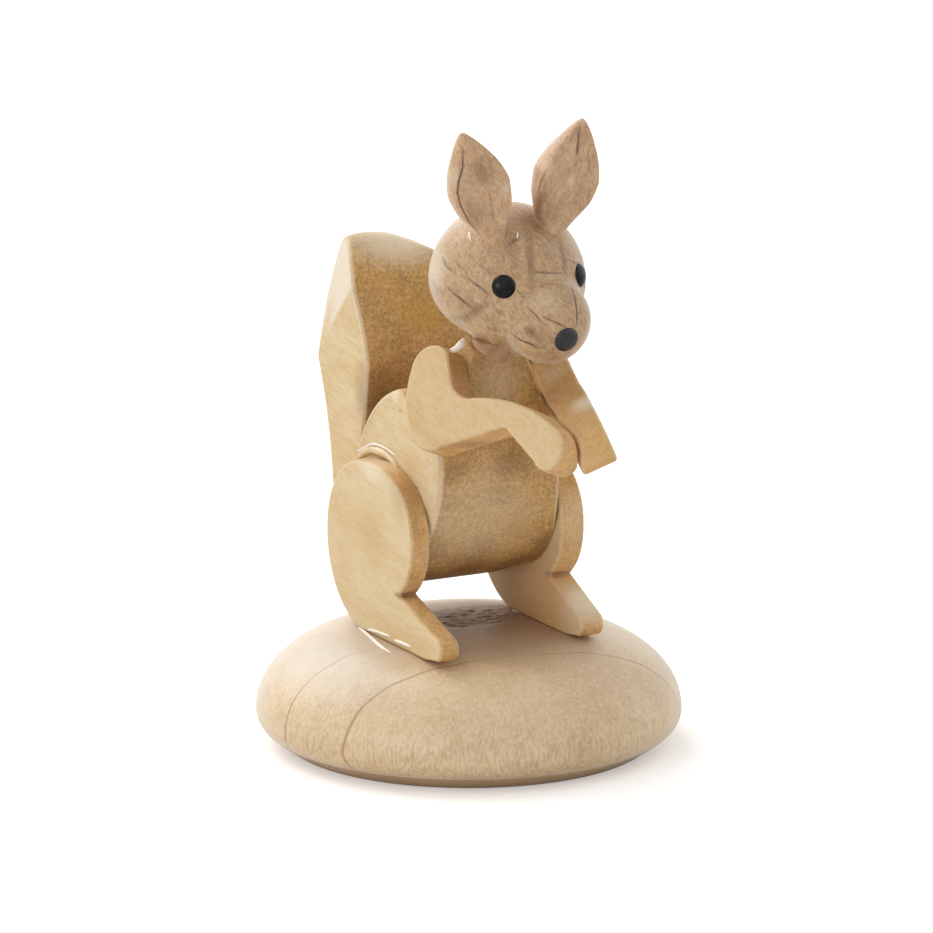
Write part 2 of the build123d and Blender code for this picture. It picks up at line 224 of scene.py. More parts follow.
# on the body: painted shade where the belly meets the far leg, along the belly's bottom, under the arms and in the
# neck's corner
BODY_PATCHES = [((548, 542), 2.0, 0.5, "glue_stain_and_shade"), ((536, 555), 2.2, 0.5, "glue_stain_and_shade"), ((512, 562), 2.6, 0.5, "glue_stain_and_shade"),
                ((470, 568), 3.5, 0.4, "glue_stain_and_shade"), ((512, 462), (3.0, 2.5, 2.0), 0.45, "end_speckle_and_shade"),
                ((455, 470), 2.0, 0.3, "glue_stain_and_shade"), ((520, 530), 3.0, 0.35, "end_gold"),
                ((356, 285), (1.3, 2.0, 5.0), 0.12, "head_fleck_and_shade"), ((372, 395), (4.0, 3.0, 5.0), 0.4, "glue_stain_and_shade"),
                ((425, 315), 3.5, 0.45, "end_gold"), ((390, 290), 3.0, 0.25, "end_gold"),
                ((482, 372), (1.6, 2.0, 4.0), 0.15, "glue_stain_and_shade"), ((520, 390), (2.0, 2.0, 3.0), 0.35, "end_gold"),
                ((498, 382), (4.5, 3.0, 4.5), 0.26, "rim"), ((412, 462), 2.2, 0.3, "limb_edge"),
                ((400, 411), (0.4, 0.35, 0.18), 0.7, "glue_stain_and_shade"),
                ((395, 395), 1.3, 0.5, "rim"), ((475, 520), (9.5, 6.0, 8.5), 0.26, "rim")]
# on the near leg: a painted highlight along the thigh's top edge
LEG_PATCHES = [((372, 470), (3.5, 4.0, 1.8), 0.6, "rim"), ((372, 535), (3.0, 4.5, 5.5), 0.22, "end_gold"),
               ((345, 560), (3.0, 3.0, 6.0), 0.15, "end_gold"),
               ((412, 492), (3.0, 3.0, 4.5), 0.35, "glue_stain_and_shade"), ((405, 595), (3.0, 1.4, 0.5), 0.7, "glue_stain_and_shade")]
# on the far leg: painted light on the foot's front edge
FAR_LEG_PATCHES = [((583, 602), (4.0, 4.5, 3.2), 0.9, "rim"), ((540, 605), (1.8, 9.0, 8.0), 0.85, "limb_edge"),
                   ((577, 520), (2.0, 2.0, 6.0), 0.2, "rim"), ((556, 574), (3.0, 1.4, 0.5), 0.6, "glue_stain_and_shade")]
ARM_PATCHES = [((461, 370), (3.0, 2.4, 4.5), 0.12, "glue_stain_and_shade"), ((469, 445), (4.0, 6.0, 0.9), 0.35, "glue_stain_and_shade")]
# on the far arm: pale along its ridge, rubbed wood and painted highlight
FAR_ARM_PATCHES = [((575, 430), (9.0, 9.0, 13.0), 0.3, "end_light"), ((588, 401), (3.2, 2.2, 1.6), 0.85, "rim"),
                   ((557, 372), (3.0, 1.2, 2.0), 0.3, "rim")]

# Runs of glue: which pieces carry each, where it runs in the photograph, its half thickness
# the foot beads are glue, made white where its highlight lines show: painted highlight
FOOT_GLUE = [
    (("turned_base",), [(358, 627), (368, 635), (380, 646), (391, 653)], 0.20),
    (("right_leg_plate", "turned_base"), [(367, 629), (378, 632), (391, 637)], 0.16),
    (("right_leg_plate", "turned_base"), [(394, 640), (402, 643), (411, 647)], 0.20),
    (("turned_base",), [(512, 610), (524, 613), (536, 618), (546, 624)], 0.22),
]
SHOULDER_GLUE = [(450, 351), (456, 349), (461, 344), (465, 338)]
SHOULDER_GLUE_THICK = 0.36
# painted highlights: thin white beads laid on the thigh's glue where its highlight lines show; each gives its line and
# half thickness
THIGH_PAINTED_HIGHLIGHTS = [([(357, 452), (365, 447), (374, 444), (385, 448), (396, 456)], 0.13),
                ([(364, 459), (375, 457), (387, 463)], 0.10)]
CHEST_GLUE = [([(525, 357), (533, 372), (540, 388), (547, 405), (555, 422)], 0.3)]
# the ear glue is made white where it shows highlights: painted highlight
EAR_GLUE = [([(469, 232), (470, 236), (471, 241)], 0.17), ([(518, 232), (517, 239)], 0.10)]
# Bead round the top of a thigh: its half thickness, then how far back and how high each of its points lies
THIGH_GLUE_THICK = 0.42
THIGH_GLUE = [(9.6, 25.7), (8.6, 26.7), (7.2, 27.5), (5.6, 27.95), (3.8, 28.05), (2.2, 27.8), (0.9, 27.2)]

# Fall of the tail's top, by place across its thickness
TAIL_TOP_FALL = [(-6.2, 0.5), (-5.6, 0.4), (-4.8, 0.2), (-3.9, 0.08), (-2.8, 0.1), (-1.9, 0.2), (-1.2, 0.33),
                 (-0.4, 0.24), (0.6, 0.12), (2.2, 0.06), (3.9, 0.2), (5.6, 0.42), (6.5, 0.55)]


def linear(code):
    """Linear colour of an sRGB hex code."""
    parts = [int(code[i:i + 2], 16) / 255 for i in (1, 3, 5)]
    return tuple(c / 12.92 if c <= 0.04045 else ((c + 0.055) / 1.055) ** 2.4 for c in parts) + (1.0,)


def length_property(name, description, default):
    """A length in metres that a user may change."""
    return bpy.props.FloatProperty(name=name, description=description, default=default * MM, min=0, unit="LENGTH",
                                   subtype="DISTANCE", precision=5)


def colour_property(name, description, code):
    """A colour that a user may change, given by its sRGB code."""
    return bpy.props.FloatVectorProperty(name=name, description=description, default=linear(code), size=4, min=0,
                                         max=1, subtype="COLOR")


class SquirrelSizes(bpy.types.PropertyGroup):
    """Sizes of the finish, in metres."""

    base_radius: length_property("Base radius", "Radius of the turned base at its widest", 20.19)
    base_height: length_property("Base height", "Height of the turned base", 10.9)
    head_radius: length_property("Head radius", "Radius of the head's ball", 7.36)
    muzzle_radius: length_property("Muzzle radius", "Radius of the muzzle's end", 4.05)
    muzzle_blend: length_property("Muzzle blend", "Radius of the hollow between ball and muzzle", 2.2)
    eye_radius: length_property("Eye radius", "Radius of an eye bead", 1.12)
    nose_radius: length_property("Nose radius", "Radius of the nose bead", 1.2)
    body_wear: length_property("Body edge", "Rounding of the body's and tail's sawn edges", 0.42)
    limb_wear: length_property("Limb edge", "Rounding of the sawn edges of arms and legs", 0.34)
    torn_depth: length_property("Torn grain depth", "Depth of the torn grain on top of the base", 0.16)
    line_depth: length_property("Grain line depth", "Depth of the open grain lines on the head and ears", 0.05)


class SquirrelColours(bpy.types.PropertyGroup):
    """Colours of the woods, the beads, the glue and the stage, and of the light and shade painted on them."""

    planed: colour_property("Planed wood", "Sawn and sanded side of the light wood", "#DBC69E")
    planed_arm: colour_property("Planed side of the arms", "Sawn and sanded side of the arms, a little darker",
                                "#D8BE94")
    streak: colour_property("Streak", "Grain streaks on the planed side", "#C99F66")
    end_grain: colour_property("Body edge wood", "Belly, chest and tail front, cut across the grain", "#C99E67")
    limb_edge: colour_property("Limb edge wood", "Edges of arms and legs, cut across the grain", "#DBAE79")
    # dark pores of the edges, and also painted shade on the belly under the arm
    end_speckle_and_shade: colour_property("End grain speckle", "Dark pores of the edges", "#735430")
    end_gold: colour_property("End grain glow", "Golden patches of the edges", "#C09342")
    end_light: colour_property("End grain light", "Light fibres and scratches of the edges", "#E2BD84")
    # painted sheen: the pale tint laid on the tail's facets and, seen at a slant, on the waxed head, ears and base
    painted_sheen: colour_property("Tail facet", "Sanded flat at the top of the tail's side", "#E9DFD0")
    # pale rims: rubbed wood, and also painted highlight on edges and in patches where light falls
    rim: colour_property("Worn rim", "Rubbed edges of the light wood", "#EBDDC2")
    # glue stain, and also painted shade in corners, between parts and under the arms and legs
    glue_stain_and_shade: colour_property("Glue stain", "Wood darkened by glue in the corners", "#754A2A")
    ball: colour_property("Head wood", "Turned beech of the head", "#BF9C73")
    # the head's pores and rays, and also painted shade under the ball, between the ears and where the ears meet the
    # head
    head_fleck_and_shade: colour_property("Head fleck", "Pores and rays of the head wood", "#7A512C")
    # dark grain lines, and also broad bands of painted shade on the head and ears
    head_line_and_shade: colour_property("Head line", "Dark grain lines of the head and ears", "#4A2A18")
    ear: colour_property("Ear wood", "Pared beech of the ears", "#CCA57E")
    base: colour_property("Base wood", "Turned beech of the base", "#DCC29C")
    # rays on the side, and also painted shade along the foot
    base_fleck_and_foot_shade: colour_property("Base fleck", "Rays on the side of the base", "#A57C4E")
    base_ring: colour_property("Base ring", "Growth rings of the base", "#9C7048")
    # painted reflection: the grey haze on the base's left shoulder
    base_painted_haze: colour_property("Greyed base", "Wood of the base that greyed on one shoulder", "#B9B5AF")
    # rough top, and also painted shade under the figure
    base_rough_and_shade: colour_property("Torn grain", "Rough wood on top of the base", "#9C7A58")
    bead: colour_property("Eye bead", "Black glass of the eyes", "#090708")
    nose: colour_property("Nose bead", "Black paint of the nose", "#2E292B")
    glue: colour_property("Glue", "Dried wood glue, clear over the wood", "#DABD90")
    # white glue, and also painted highlight on the glue at the feet, the thigh and the ears
    white_glue_and_highlight: colour_property("White glue", "Thick glue that dried white", "#EFE8DE")
    glue_brown: colour_property("Brown glue", "Glue that dried brown under the ball", "#A67B56")
    dowel: colour_property("Dowel", "Plain beech of the neck dowel", "#CBAA80")
    floor: colour_property("Floor", "Plain pale floor", "#F4F3F1")


# ---------------------------------------------------------------------------------------------------- camera

def view_axes():
    """Directions from the object to the camera, to the image's right and to its top."""
    turn = math.radians(VIEW_TURN)
    rise = math.radians(VIEW_RISE)
    back = Vector((math.sin(turn) * math.cos(rise), -math.cos(turn) * math.cos(rise), math.sin(rise)))
    right = Vector((math.cos(turn), math.sin(turn), 0.0))
    return back, right, back.cross(right)


def view_place():
    """Place of the camera."""
    back, right, up = view_axes()
    return VIEW_AIM - right * (VIEW_OFFSET / VIEW_SCALE) + back * VIEW_DISTANCE


def line_of_sight(pixel):
    """Direction from the camera through a pixel; its length means nothing."""
    back, right, up = view_axes()
    middle = PHOTO_SIDE / 2
    return right * (pixel[0] - middle) + up * (middle - pixel[1]) - back * (VIEW_SCALE * VIEW_DISTANCE)


def on_plane(pixel, place, facing):
    """Where a pixel's line of sight meets a plane, in millimetres."""
    sight, start = line_of_sight(pixel), view_place()
    return tuple(start + sight * ((place - start).dot(facing) / sight.dot(facing)))


def seen_at(pieces, pixel):
    """Where a pixel's line of sight meets the nearest of some pieces, in millimetres, or None."""
    sight, start = line_of_sight(pixel).normalized(), view_place() * MM
    found = [piece.ray_cast(start, sight) for piece in pieces]
    hits = [place for hit, place, normal, face in found if hit]
    if not hits:
        return None
    return min(hits, key=lambda place: (place - start).length) / MM


# ---------------------------------------------------------------------------------------------------- modelling

def select_only(piece):
    """Leaves one object selected and active."""
    if bpy.context.mode != "OBJECT":
        bpy.ops.object.mode_set(mode="OBJECT")
    bpy.ops.object.select_all(action="DESELECT")
    piece.select_set(True)
    bpy.context.view_layer.objects.active = piece


def start_edit(piece, kind="VERT", action="SELECT"):
    """Opens a piece in edit mode, with all of it selected unless the action says otherwise."""
    select_only(piece)
    bpy.ops.object.mode_set(mode="EDIT")
    bpy.ops.mesh.select_mode(type=kind)
    bpy.ops.mesh.select_all(action=action)


def end_edit():
    """Goes back to object mode."""
    bpy.ops.object.mode_set(mode="OBJECT")


def drawn_line(name, points):
    """A chain of edges through points: one corner of a plane, extruded from point to point."""
    bpy.ops.object.select_all(action="DESELECT")
    bpy.ops.mesh.primitive_plane_add(size=MM)
    piece = bpy.context.active_object
    piece.name = name
    bpy.ops.object.mode_set(mode="EDIT")
    bpy.ops.mesh.select_mode(type="VERT")
    bpy.ops.mesh.select_all(action="SELECT")
    bpy.ops.mesh.merge(type="CENTER")
    bpy.ops.transform.translate(value=Vector(points[0]) * MM)
    for last, point in zip(points, points[1:]):
        move = (Vector(point) - Vector(last)) * MM
        bpy.ops.mesh.extrude_vertices_move(TRANSFORM_OT_translate={"value": move})
    end_edit()
    return piece


def turned(name, outline, steps):
    """A turned solid: a half outline of (radius, height), spun about Z."""
    piece = drawn_line(name, [(radius, 0.0, height) for radius, height in outline])
    start_edit(piece)
    bpy.ops.mesh.spin(steps=steps, angle=2 * math.pi, center=(0, 0, 0), axis=(0, 0, 1))
    bpy.ops.mesh.select_all(action="SELECT")
    bpy.ops.mesh.remove_doubles(threshold=0.002 * MM)
    bpy.ops.mesh.normals_make_consistent(inside=False)
    end_edit()
    return piece


def set_down(piece, matrix):
    """Puts a piece in its place, a matrix with its place in millimetres, and leaves its object at the origin."""
    placed = matrix.copy()
    placed.translation = matrix.translation * MM
    select_only(piece)
    piece.matrix_world = placed
    bpy.ops.object.transform_apply(location=True, rotation=True, scale=True)


def along(direction, place):
    """Matrix that puts a piece's Z along a direction, at a place in millimetres."""
    axis = Vector(direction).normalized()
    side = Vector((0, 0, 1)).cross(axis).normalized()
    turn = Matrix((side, axis.cross(side), axis)).transposed().to_4x4()
    turn.translation = Vector(place)
    return turn


def arc(centre, radii, first, last, count):
    """Points of an arc, angles in degrees from the radius direction upwards."""
    angles = [math.radians(first + (last - first) * i / count) for i in range(count + 1)]
    return [(centre[0] + radii[0] * math.cos(a), centre[1] + radii[1] * math.sin(a)) for a in angles]


def smooth_line(points, count):
    """A smooth line through points, with count steps between two of them."""
    whole = [2 * np.array(points[0]) - np.array(points[1])] + [np.array(p) for p in points]
    whole.append(2 * np.array(points[-1]) - np.array(points[-2]))
    found = []
    for before, start, end, after in zip(whole, whole[1:], whole[2:], whole[3:]):
        for step in range(count):
            t = step / count
            found.append(0.5 * (2 * start + (end - before) * t + (2 * before - 5 * start + 4 * end - after) * t**2
                                + (3 * start - before - 3 * end + after) * t**3))
    found.append(np.array(points[-1]))
    return [tuple(float(x) for x in p) for p in found]


def apply_modifier(piece, kind, **settings):
    """Adds a modifier, sets it and applies it."""
    select_only(piece)
    bpy.ops.object.modifier_add(type=kind)
    modifier = piece.modifiers[-1]
    for key, value in settings.items():
        setattr(modifier, key, value)
    bpy.ops.object.modifier_apply(modifier=modifier.name)


def smooth_faces(piece, angle=None):
    """Shades a piece smooth: all over, or where its faces meet at less than an angle in degrees."""
    select_only(piece)
    if angle is None:
        bpy.ops.object.shade_smooth()
    else:
        bpy.ops.object.shade_smooth_by_angle(angle=math.radians(angle))


def places(piece):
    """The piece's vertices, in millimetres."""
    found = np.zeros(len(piece.data.vertices) * 3, np.float32)
    piece.data.vertices.foreach_get("co", found)
    return found.reshape(-1, 3).astype(float) / MM


def outwards(piece):
    """The piece's vertex normals."""
    found = np.zeros(len(piece.data.vertices) * 3, np.float32)
    piece.data.vertex_normals.foreach_get("vector", found)
    return found.reshape(-1, 3).astype(float)


def move_to(piece, points):
    """Puts the piece's vertices at points in millimetres."""
    piece.data.vertices.foreach_set("co", (points * MM).astype(np.float32).ravel())
    piece.data.update()


def keep_values(piece, name, values):
    """Keeps one value for each vertex, which a material reads."""
    kept = piece.data.attributes.get(name) or piece.data.attributes.new(name, "FLOAT", "POINT")
    kept.data.foreach_set("value", np.asarray(values, np.float32))


def seen_line(piece, pixels):
    """Places on a piece along a line of pixels, close together."""
    found = []
    for start, end in zip(pixels, pixels[1:]):
        count = max(2, int(math.hypot(end[0] - start[0], end[1] - start[1]) / 1.2))
        for step in range(count + 1):
            share = step / count
            spot = seen_at([piece], [a + (b - a) * share for a, b in zip(start, end)])
            if spot is not None:
                found.append(spot)
    return np.array(found, float).reshape(-1, 3)


def line_weight(points, line, half_width):
    """How near points are to a line that thins out at both ends, from 0 to 1."""
    if not len(line):
        return np.zeros(len(points))
    nearest = np.full(len(points), 1e9)
    index = np.zeros(len(points), int)
    for i, spot in enumerate(line):
        gap = np.linalg.norm(points - spot, axis=1)
        closer = gap < nearest
        nearest[closer] = gap[closer]
        index[closer] = i
    share = index / max(1, len(line) - 1)
    taper = np.sqrt(np.clip(np.sin(np.pi * (0.08 + 0.84 * share)), 0, 1))
    edge = np.clip(1.15 - nearest / (half_width * 1.35), 0, 1)
    return edge * edge * (3 - 2 * edge) * taper


def patches_on(piece, rows):
    """Patches of colour for a material: each row gives a pixel of the photograph, a size, a strength and a tint."""
    bpy.context.view_layer.update()
    tints = bpy.context.scene.squirrel_colours
    found = []
    for pixel, size, amount, tint in rows:
        spot = seen_at([piece], pixel)
        if spot is None:
            raise RuntimeError("no wood of %s is seen at %s" % (piece.name, pixel))
        found.append((spot, size if isinstance(size, tuple) else (size, size, size), amount, getattr(tints, tint)))
    return found


def draw_lines(piece, lines, depth, carried_on=()):
    """Opens lines of grain in a piece, and broad bands of painted shade, and keeps their strength; carried_on turns
    copies of them about the head.
    """
    points = places(piece)
    normals = outwards(piece)
    strength = np.zeros(len(points))
    for pixels, half_width, force in lines:
        seen = seen_line(piece, pixels)
        copies = [seen]
        for turn in carried_on:
            spin = np.array(Matrix.Rotation(math.radians(turn), 3, "Z"))
            copies.append((seen - np.array(HEAD_CENTRE)) @ spin.T + np.array(HEAD_CENTRE))
        for line in copies:
            strength = np.maximum(strength, force * line_weight(points, line, half_width))
    move_to(piece, points - normals * (strength * depth)[:, None])
    keep_values(piece, "line", strength)


def put_on(piece, material, replaced=()):
    """Gives a finished piece its material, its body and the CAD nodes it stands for."""
    piece.data.materials.clear()
    piece.data.materials.append(material)
    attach(piece, BODY)
    if replaced:
        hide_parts(*replaced)


def sawn_copy(node_name, name, wear, cuts=()):
    """A copy of a sawn CAD solid with its edges rubbed round, which keeps which vertices lie on the rims. It is
    divided at the cuts across its width, so that it can be bowed later."""
    select_only(frame["nodes"][node_name])
    bpy.ops.object.duplicate()
    piece = bpy.context.active_object
    bpy.ops.object.parent_clear(type="CLEAR_KEEP_TRANSFORM")
    piece.name = name
    piece.data.name = name
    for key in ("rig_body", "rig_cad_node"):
        del piece[key]
    start_edit(piece)
    bpy.ops.mesh.remove_doubles(threshold=0.001 * MM)
    bpy.ops.mesh.dissolve_limited(angle_limit=math.radians(0.8))
    end_edit()
    start_edit(piece, "EDGE", "DESELECT")
    bpy.ops.mesh.edges_select_sharp(sharpness=math.radians(SHARP_EDGE))
    bpy.ops.mesh.bevel(offset=wear, segments=3, profile=0.5, affect="EDGES", clamp_overlap=False, loop_slide=True)
    end_edit()
    # a narrow strip that faces neither along the broad side nor square to it counts as rim
    broad = max(piece.data.polygons, key=lambda face: face.area).normal.copy()
    rounded = np.ones(len(piece.data.vertices))
    for face in piece.data.polygons:
        corners = [piece.data.vertices[i].co for i in face.vertices]
        length = sum((a - b).length for a, b in zip(corners, corners[1:] + corners[:1]))
        slant = abs(face.normal @ broad)
        if 2 * face.area > RIM_NARROW * wear * length or not RIM_SLANT[0] < slant < RIM_SLANT[1]:
            rounded[list(face.vertices)] = 0.0
    keep_values(piece, "rim", rounded)
    for cut in cuts:
        start_edit(piece)
        bpy.ops.mesh.bisect(plane_co=(cut * MM, 0, 0), plane_no=(1, 0, 0))
        end_edit()
    start_edit(piece)
    bpy.ops.mesh.remove_doubles(threshold=0.03 * MM)
    bpy.ops.mesh.normals_make_consistent(inside=False)
    end_edit()
    smooth_faces(piece, 40)
    apply_modifier(piece, "WEIGHTED_NORMAL", keep_sharp=True, weight=60)
    return piece


# ---------------------------------------------------------------------------------------------------- materials

def add_node(tree, kind, settings=None):
    """Adds a node. Settings name its properties or its sockets; an output given to a socket is linked to it."""
    node = tree.nodes.new(kind)
    for key, value in (settings or {}).items():
        if isinstance(value, bpy.types.NodeSocket):
            tree.links.new(value, node.inputs[key])
        elif isinstance(key, str) and hasattr(node, key):
            setattr(node, key, value)
        else:
            node.inputs[key].default_value = value
    return node


def new_material(name, finish):
    """An empty material: its tree, its shader with the finish's values, and the object's coordinates in millimetres."""
    material = bpy.data.materials.new(name)
    material.use_nodes = True
    tree = material.node_tree
    tree.nodes.clear()
    shader = add_node(tree, "ShaderNodeBsdfPrincipled", finish)
    add_node(tree, "ShaderNodeOutputMaterial", {"Surface": shader.outputs["BSDF"]})
    place = add_node(tree, "ShaderNodeTexCoord")
    scaled = add_node(tree, "ShaderNodeMapping", {"Scale": (1000, 1000, 1000), "Vector": place.outputs["Object"]})
    return material, tree, shader, scaled.outputs["Vector"]


def turn_along(fibre):
    """Turn that lays the fibres along X, for a Mapping node."""
    return Vector(fibre).rotation_difference(Vector((1, 0, 0))).to_euler()


def pattern(tree, space, per_mm, low, high, detail=3.0, shift=0.0):
    """A pattern of noise from 0 to 1, with its frequency per millimetre along each axis."""
    stretched = add_node(tree, "ShaderNodeMapping", {"Scale": per_mm, "Location": (shift, shift, shift),
                                                     "Vector": space})
    noise = add_node(tree, "ShaderNodeTexNoise", {"Scale": 1.0, "Detail": detail, "Roughness": 0.6,
                                                  "Vector": stretched.outputs["Vector"]})
    ranged = add_node(tree, "ShaderNodeMapRange", {"interpolation_type": "SMOOTHSTEP", "From Min": low,
                                                   "From Max": high, "Value": noise.outputs["Fac"]})
    return ranged.outputs["Result"]


def patch(tree, millimetres, centre, sizes, soft):
    """A soft ellipsoid: 0 past its sizes along each axis, in millimetres, and 1 inside a share of them."""
    shaped = millimetres
    for operation, value in (("SUBTRACT", centre), ("DIVIDE", sizes)):
        shaped = add_node(tree, "ShaderNodeVectorMath", {"operation": operation, 0: shaped, 1: value}).outputs[0]
    far = add_node(tree, "ShaderNodeVectorMath", {"operation": "LENGTH", 0: shaped})
    ranged = add_node(tree, "ShaderNodeMapRange", {"interpolation_type": "SMOOTHSTEP", "From Min": 1.0,
                                                   "From Max": soft, "Value": far.outputs["Value"]})
    return ranged.outputs["Result"]


def turned_to(tree, normal, direction, least, most):
    """From 0 to 1, how squarely the surface, or a normal made from it, faces along a direction, either way."""
    dot = add_node(tree, "ShaderNodeVectorMath", {"operation": "DOT_PRODUCT", 0: normal,
                                                  1: Vector(direction).normalized()})
    either = add_node(tree, "ShaderNodeMath", {"operation": "ABSOLUTE", 0: dot.outputs["Value"]})
    ranged = add_node(tree, "ShaderNodeMapRange", {"interpolation_type": "SMOOTHSTEP", "From Min": least,
                                                   "From Max": most, "Value": either.outputs[0]})
    return ranged.outputs["Result"]


def painted_slant_sheen(tree, first, full):
    """From 0 to 1, how far a surface is seen at a slant, where a pale sheen is painted into its colour."""
    slant = add_node(tree, "ShaderNodeLayerWeight", {"Blend": 0.5})
    ranged = add_node(tree, "ShaderNodeMapRange", {"interpolation_type": "SMOOTHSTEP", "From Min": first,
                                                   "From Max": full, "Value": slant.outputs["Facing"]})
    return ranged.outputs["Result"]


def layered(tree, colour, layers):
    """Lays tints over a colour in turn; each layer gives its mask, its amount and its tint."""
    for mask, amount, tint in layers:
        share = add_node(tree, "ShaderNodeMath", {"operation": "MULTIPLY", 0: mask, 1: amount}).outputs[0]
        colour = add_node(tree, "ShaderNodeMix", {"data_type": "RGBA", 0: share, 6: colour, 7: tint}).outputs[2]
    return colour


def coloured(tree, shader, colour, relief=None, depth=0.0, strength=0.6):
    """Gives a shader its colour and, where there is one, a relief of a depth in millimetres."""
    tree.links.new(colour, shader.inputs["Base Color"])
    if relief:
        bump = add_node(tree, "ShaderNodeBump", {"Strength": strength, "Distance": depth * MM, "Height": relief})
        tree.links.new(bump.outputs["Normal"], shader.inputs["Normal"])


def sawn_maple(name, face, fibre, shift, flat, edge, patches=(), painted_sheen=None, streaky=0.3, wear_and_highlight=1.0):
    """Maple, bandsawn and sanded by hand: pale and silky on its broad sides with fine streaks along the fibres,
    golden, speckled and scratched on edges cut across them, and painted pale along the rims, as rubbed wood and as a
    painted highlight; patches add the wood's own tones and painted light and shade."""
    tints = bpy.context.scene.squirrel_colours
    material, tree, shader, millimetres = new_material(name, {"Specular IOR Level": 0.15})
    space = add_node(tree, "ShaderNodeMapping", {"Rotation": turn_along(fibre), "Vector": millimetres}).outputs[0]
    normal = add_node(tree, "ShaderNodeNewGeometry").outputs["Normal"]
    side = turned_to(tree, normal, face, 0.78, 0.96)
    # bundles of fibres show as streaks some 0.2 mm wide and a millimetre or two long
    streaks = pattern(tree, space, (0.4, 2.8, 2.8), 0.47, 0.6, 3.0, shift)
    fibres = pattern(tree, space, (0.8, 4.2, 4.2), 0.44, 0.6, 2.0, shift + 2)
    broad = pattern(tree, space, (0.05, 0.3, 0.3), 0.42, 0.62, 2.0, shift + 7)
    planed = layered(tree, flat, ((streaks, streaky, tints.streak), (fibres, 0.14, tints.streak),
                                  (broad, 0.18, tints.end_gold)))
    # pores are some 0.07 mm wide, drawn twice as coarse so that they show
    pores = pattern(tree, space, (2.2, 3.8, 3.8), 0.46, 0.58, 2.0, shift + 3)
    mottled = pattern(tree, space, (1.1, 2.0, 2.0), 0.44, 0.6, 3.0, shift + 4)
    lights = pattern(tree, millimetres, (2.8, 2.8, 2.8), 0.51, 0.61, 2.0, shift + 6)
    scratches = pattern(tree, millimetres, (0.5, 3.2, 3.2), 0.5, 0.6, 2.0, shift + 11)
    clouds = pattern(tree, space, (0.2, 0.35, 0.35), 0.43, 0.62, 3.0, shift + 5)
    glow = pattern(tree, millimetres, (0.2, 0.2, 0.28), 0.44, 0.6, 2.0, shift + 8)
    cut = layered(tree, edge, ((glow, 0.4, tints.end_gold), (scratches, 0.25, tints.end_light),
                               (clouds, 0.22 * wear_and_highlight, tints.end_speckle_and_shade), (mottled, 0.16 * wear_and_highlight, tints.end_speckle_and_shade),
                               (pores, 0.34 * wear_and_highlight, tints.end_speckle_and_shade), (lights, 0.3, tints.end_light)))
    layers = [(side, 1.0, planed)]
    layers += [(patch(tree, millimetres, centre, sizes, 0.15), amount, tint)
               for centre, sizes, amount, tint in patches]
    # painted sheen: the tail's sanded facets, on both sides, made pale as if they caught the light
    if painted_sheen:
        folded = add_node(tree, "ShaderNodeVectorMath", {"operation": "ABSOLUTE", 0: normal}).outputs[0]
        layers.append((turned_to(tree, folded, painted_sheen, 0.985, 0.997), 0.65, tints.painted_sheen))
    # pale rims: rubbed wood and a painted highlight along the rounded edges
    rim = add_node(tree, "ShaderNodeAttribute", {"attribute_name": "rim"})
    layers.append((rim.outputs["Fac"], 0.45 * wear_and_highlight, tints.rim))
    coloured(tree, shader, layered(tree, cut, layers), layered(tree, pores, [(side, 1.0, streaks)]), 0.03)
    rough = add_node(tree, "ShaderNodeMapRange", {"To Min": 0.7, "To Max": 0.5, "Value": side})
    tree.links.new(rough.outputs["Result"], shader.inputs["Roughness"])
    return material


def turned_beech_head(name, fibre, tint, line_amount=1.0, fleck=0.34, patches=()):
    """Beech, turned on a lathe and waxed: pinkish brown with short dark pores along the fibres, open grain lines
    and a soft gloss, with a pale sheen painted into its colour where it is seen at a slant."""
    tints = bpy.context.scene.squirrel_colours
    waxed = {"Roughness": 0.5, "Specular IOR Level": 0.3, "Coat Weight": 0.35, "Coat Roughness": 0.4}
    material, tree, shader, millimetres = new_material(name, waxed)
    space = add_node(tree, "ShaderNodeMapping", {"Rotation": turn_along(fibre), "Vector": millimetres}).outputs[0]
    # beech pores are some 0.07 mm wide, drawn twice as coarse so that they show
    flecks = pattern(tree, space, (1.8, 3.6, 3.6), 0.49, 0.6)
    fine = pattern(tree, space, (2.2, 5.0, 5.0), 0.48, 0.6, 2.0, 4.0)
    mottled = pattern(tree, space, (0.5, 1.1, 1.1), 0.44, 0.62, 3.0, 2.0)
    clouds = pattern(tree, space, (0.12, 0.3, 0.3), 0.42, 0.62, 3.0, 9.0)
    layers = [(clouds, 0.22, tints.head_fleck_and_shade), (mottled, 0.15, tints.head_fleck_and_shade), (fine, 0.16, tints.rim),
              (flecks, fleck, tints.head_fleck_and_shade)]
    layers += [(patch(tree, millimetres, centre, sizes, 0.1), amount, shade)
               for centre, sizes, amount, shade in patches]
    line = add_node(tree, "ShaderNodeAttribute", {"attribute_name": "line"})
    # painted sheen: the colour turns pale where the wax is seen at a slant
    layers += [(painted_slant_sheen(tree, 0.5, 0.95), 0.45, tints.painted_sheen), (line.outputs["Fac"], line_amount, tints.head_line_and_shade)]
    coloured(tree, shader, layered(tree, tint, layers), flecks, -0.02)
    return material


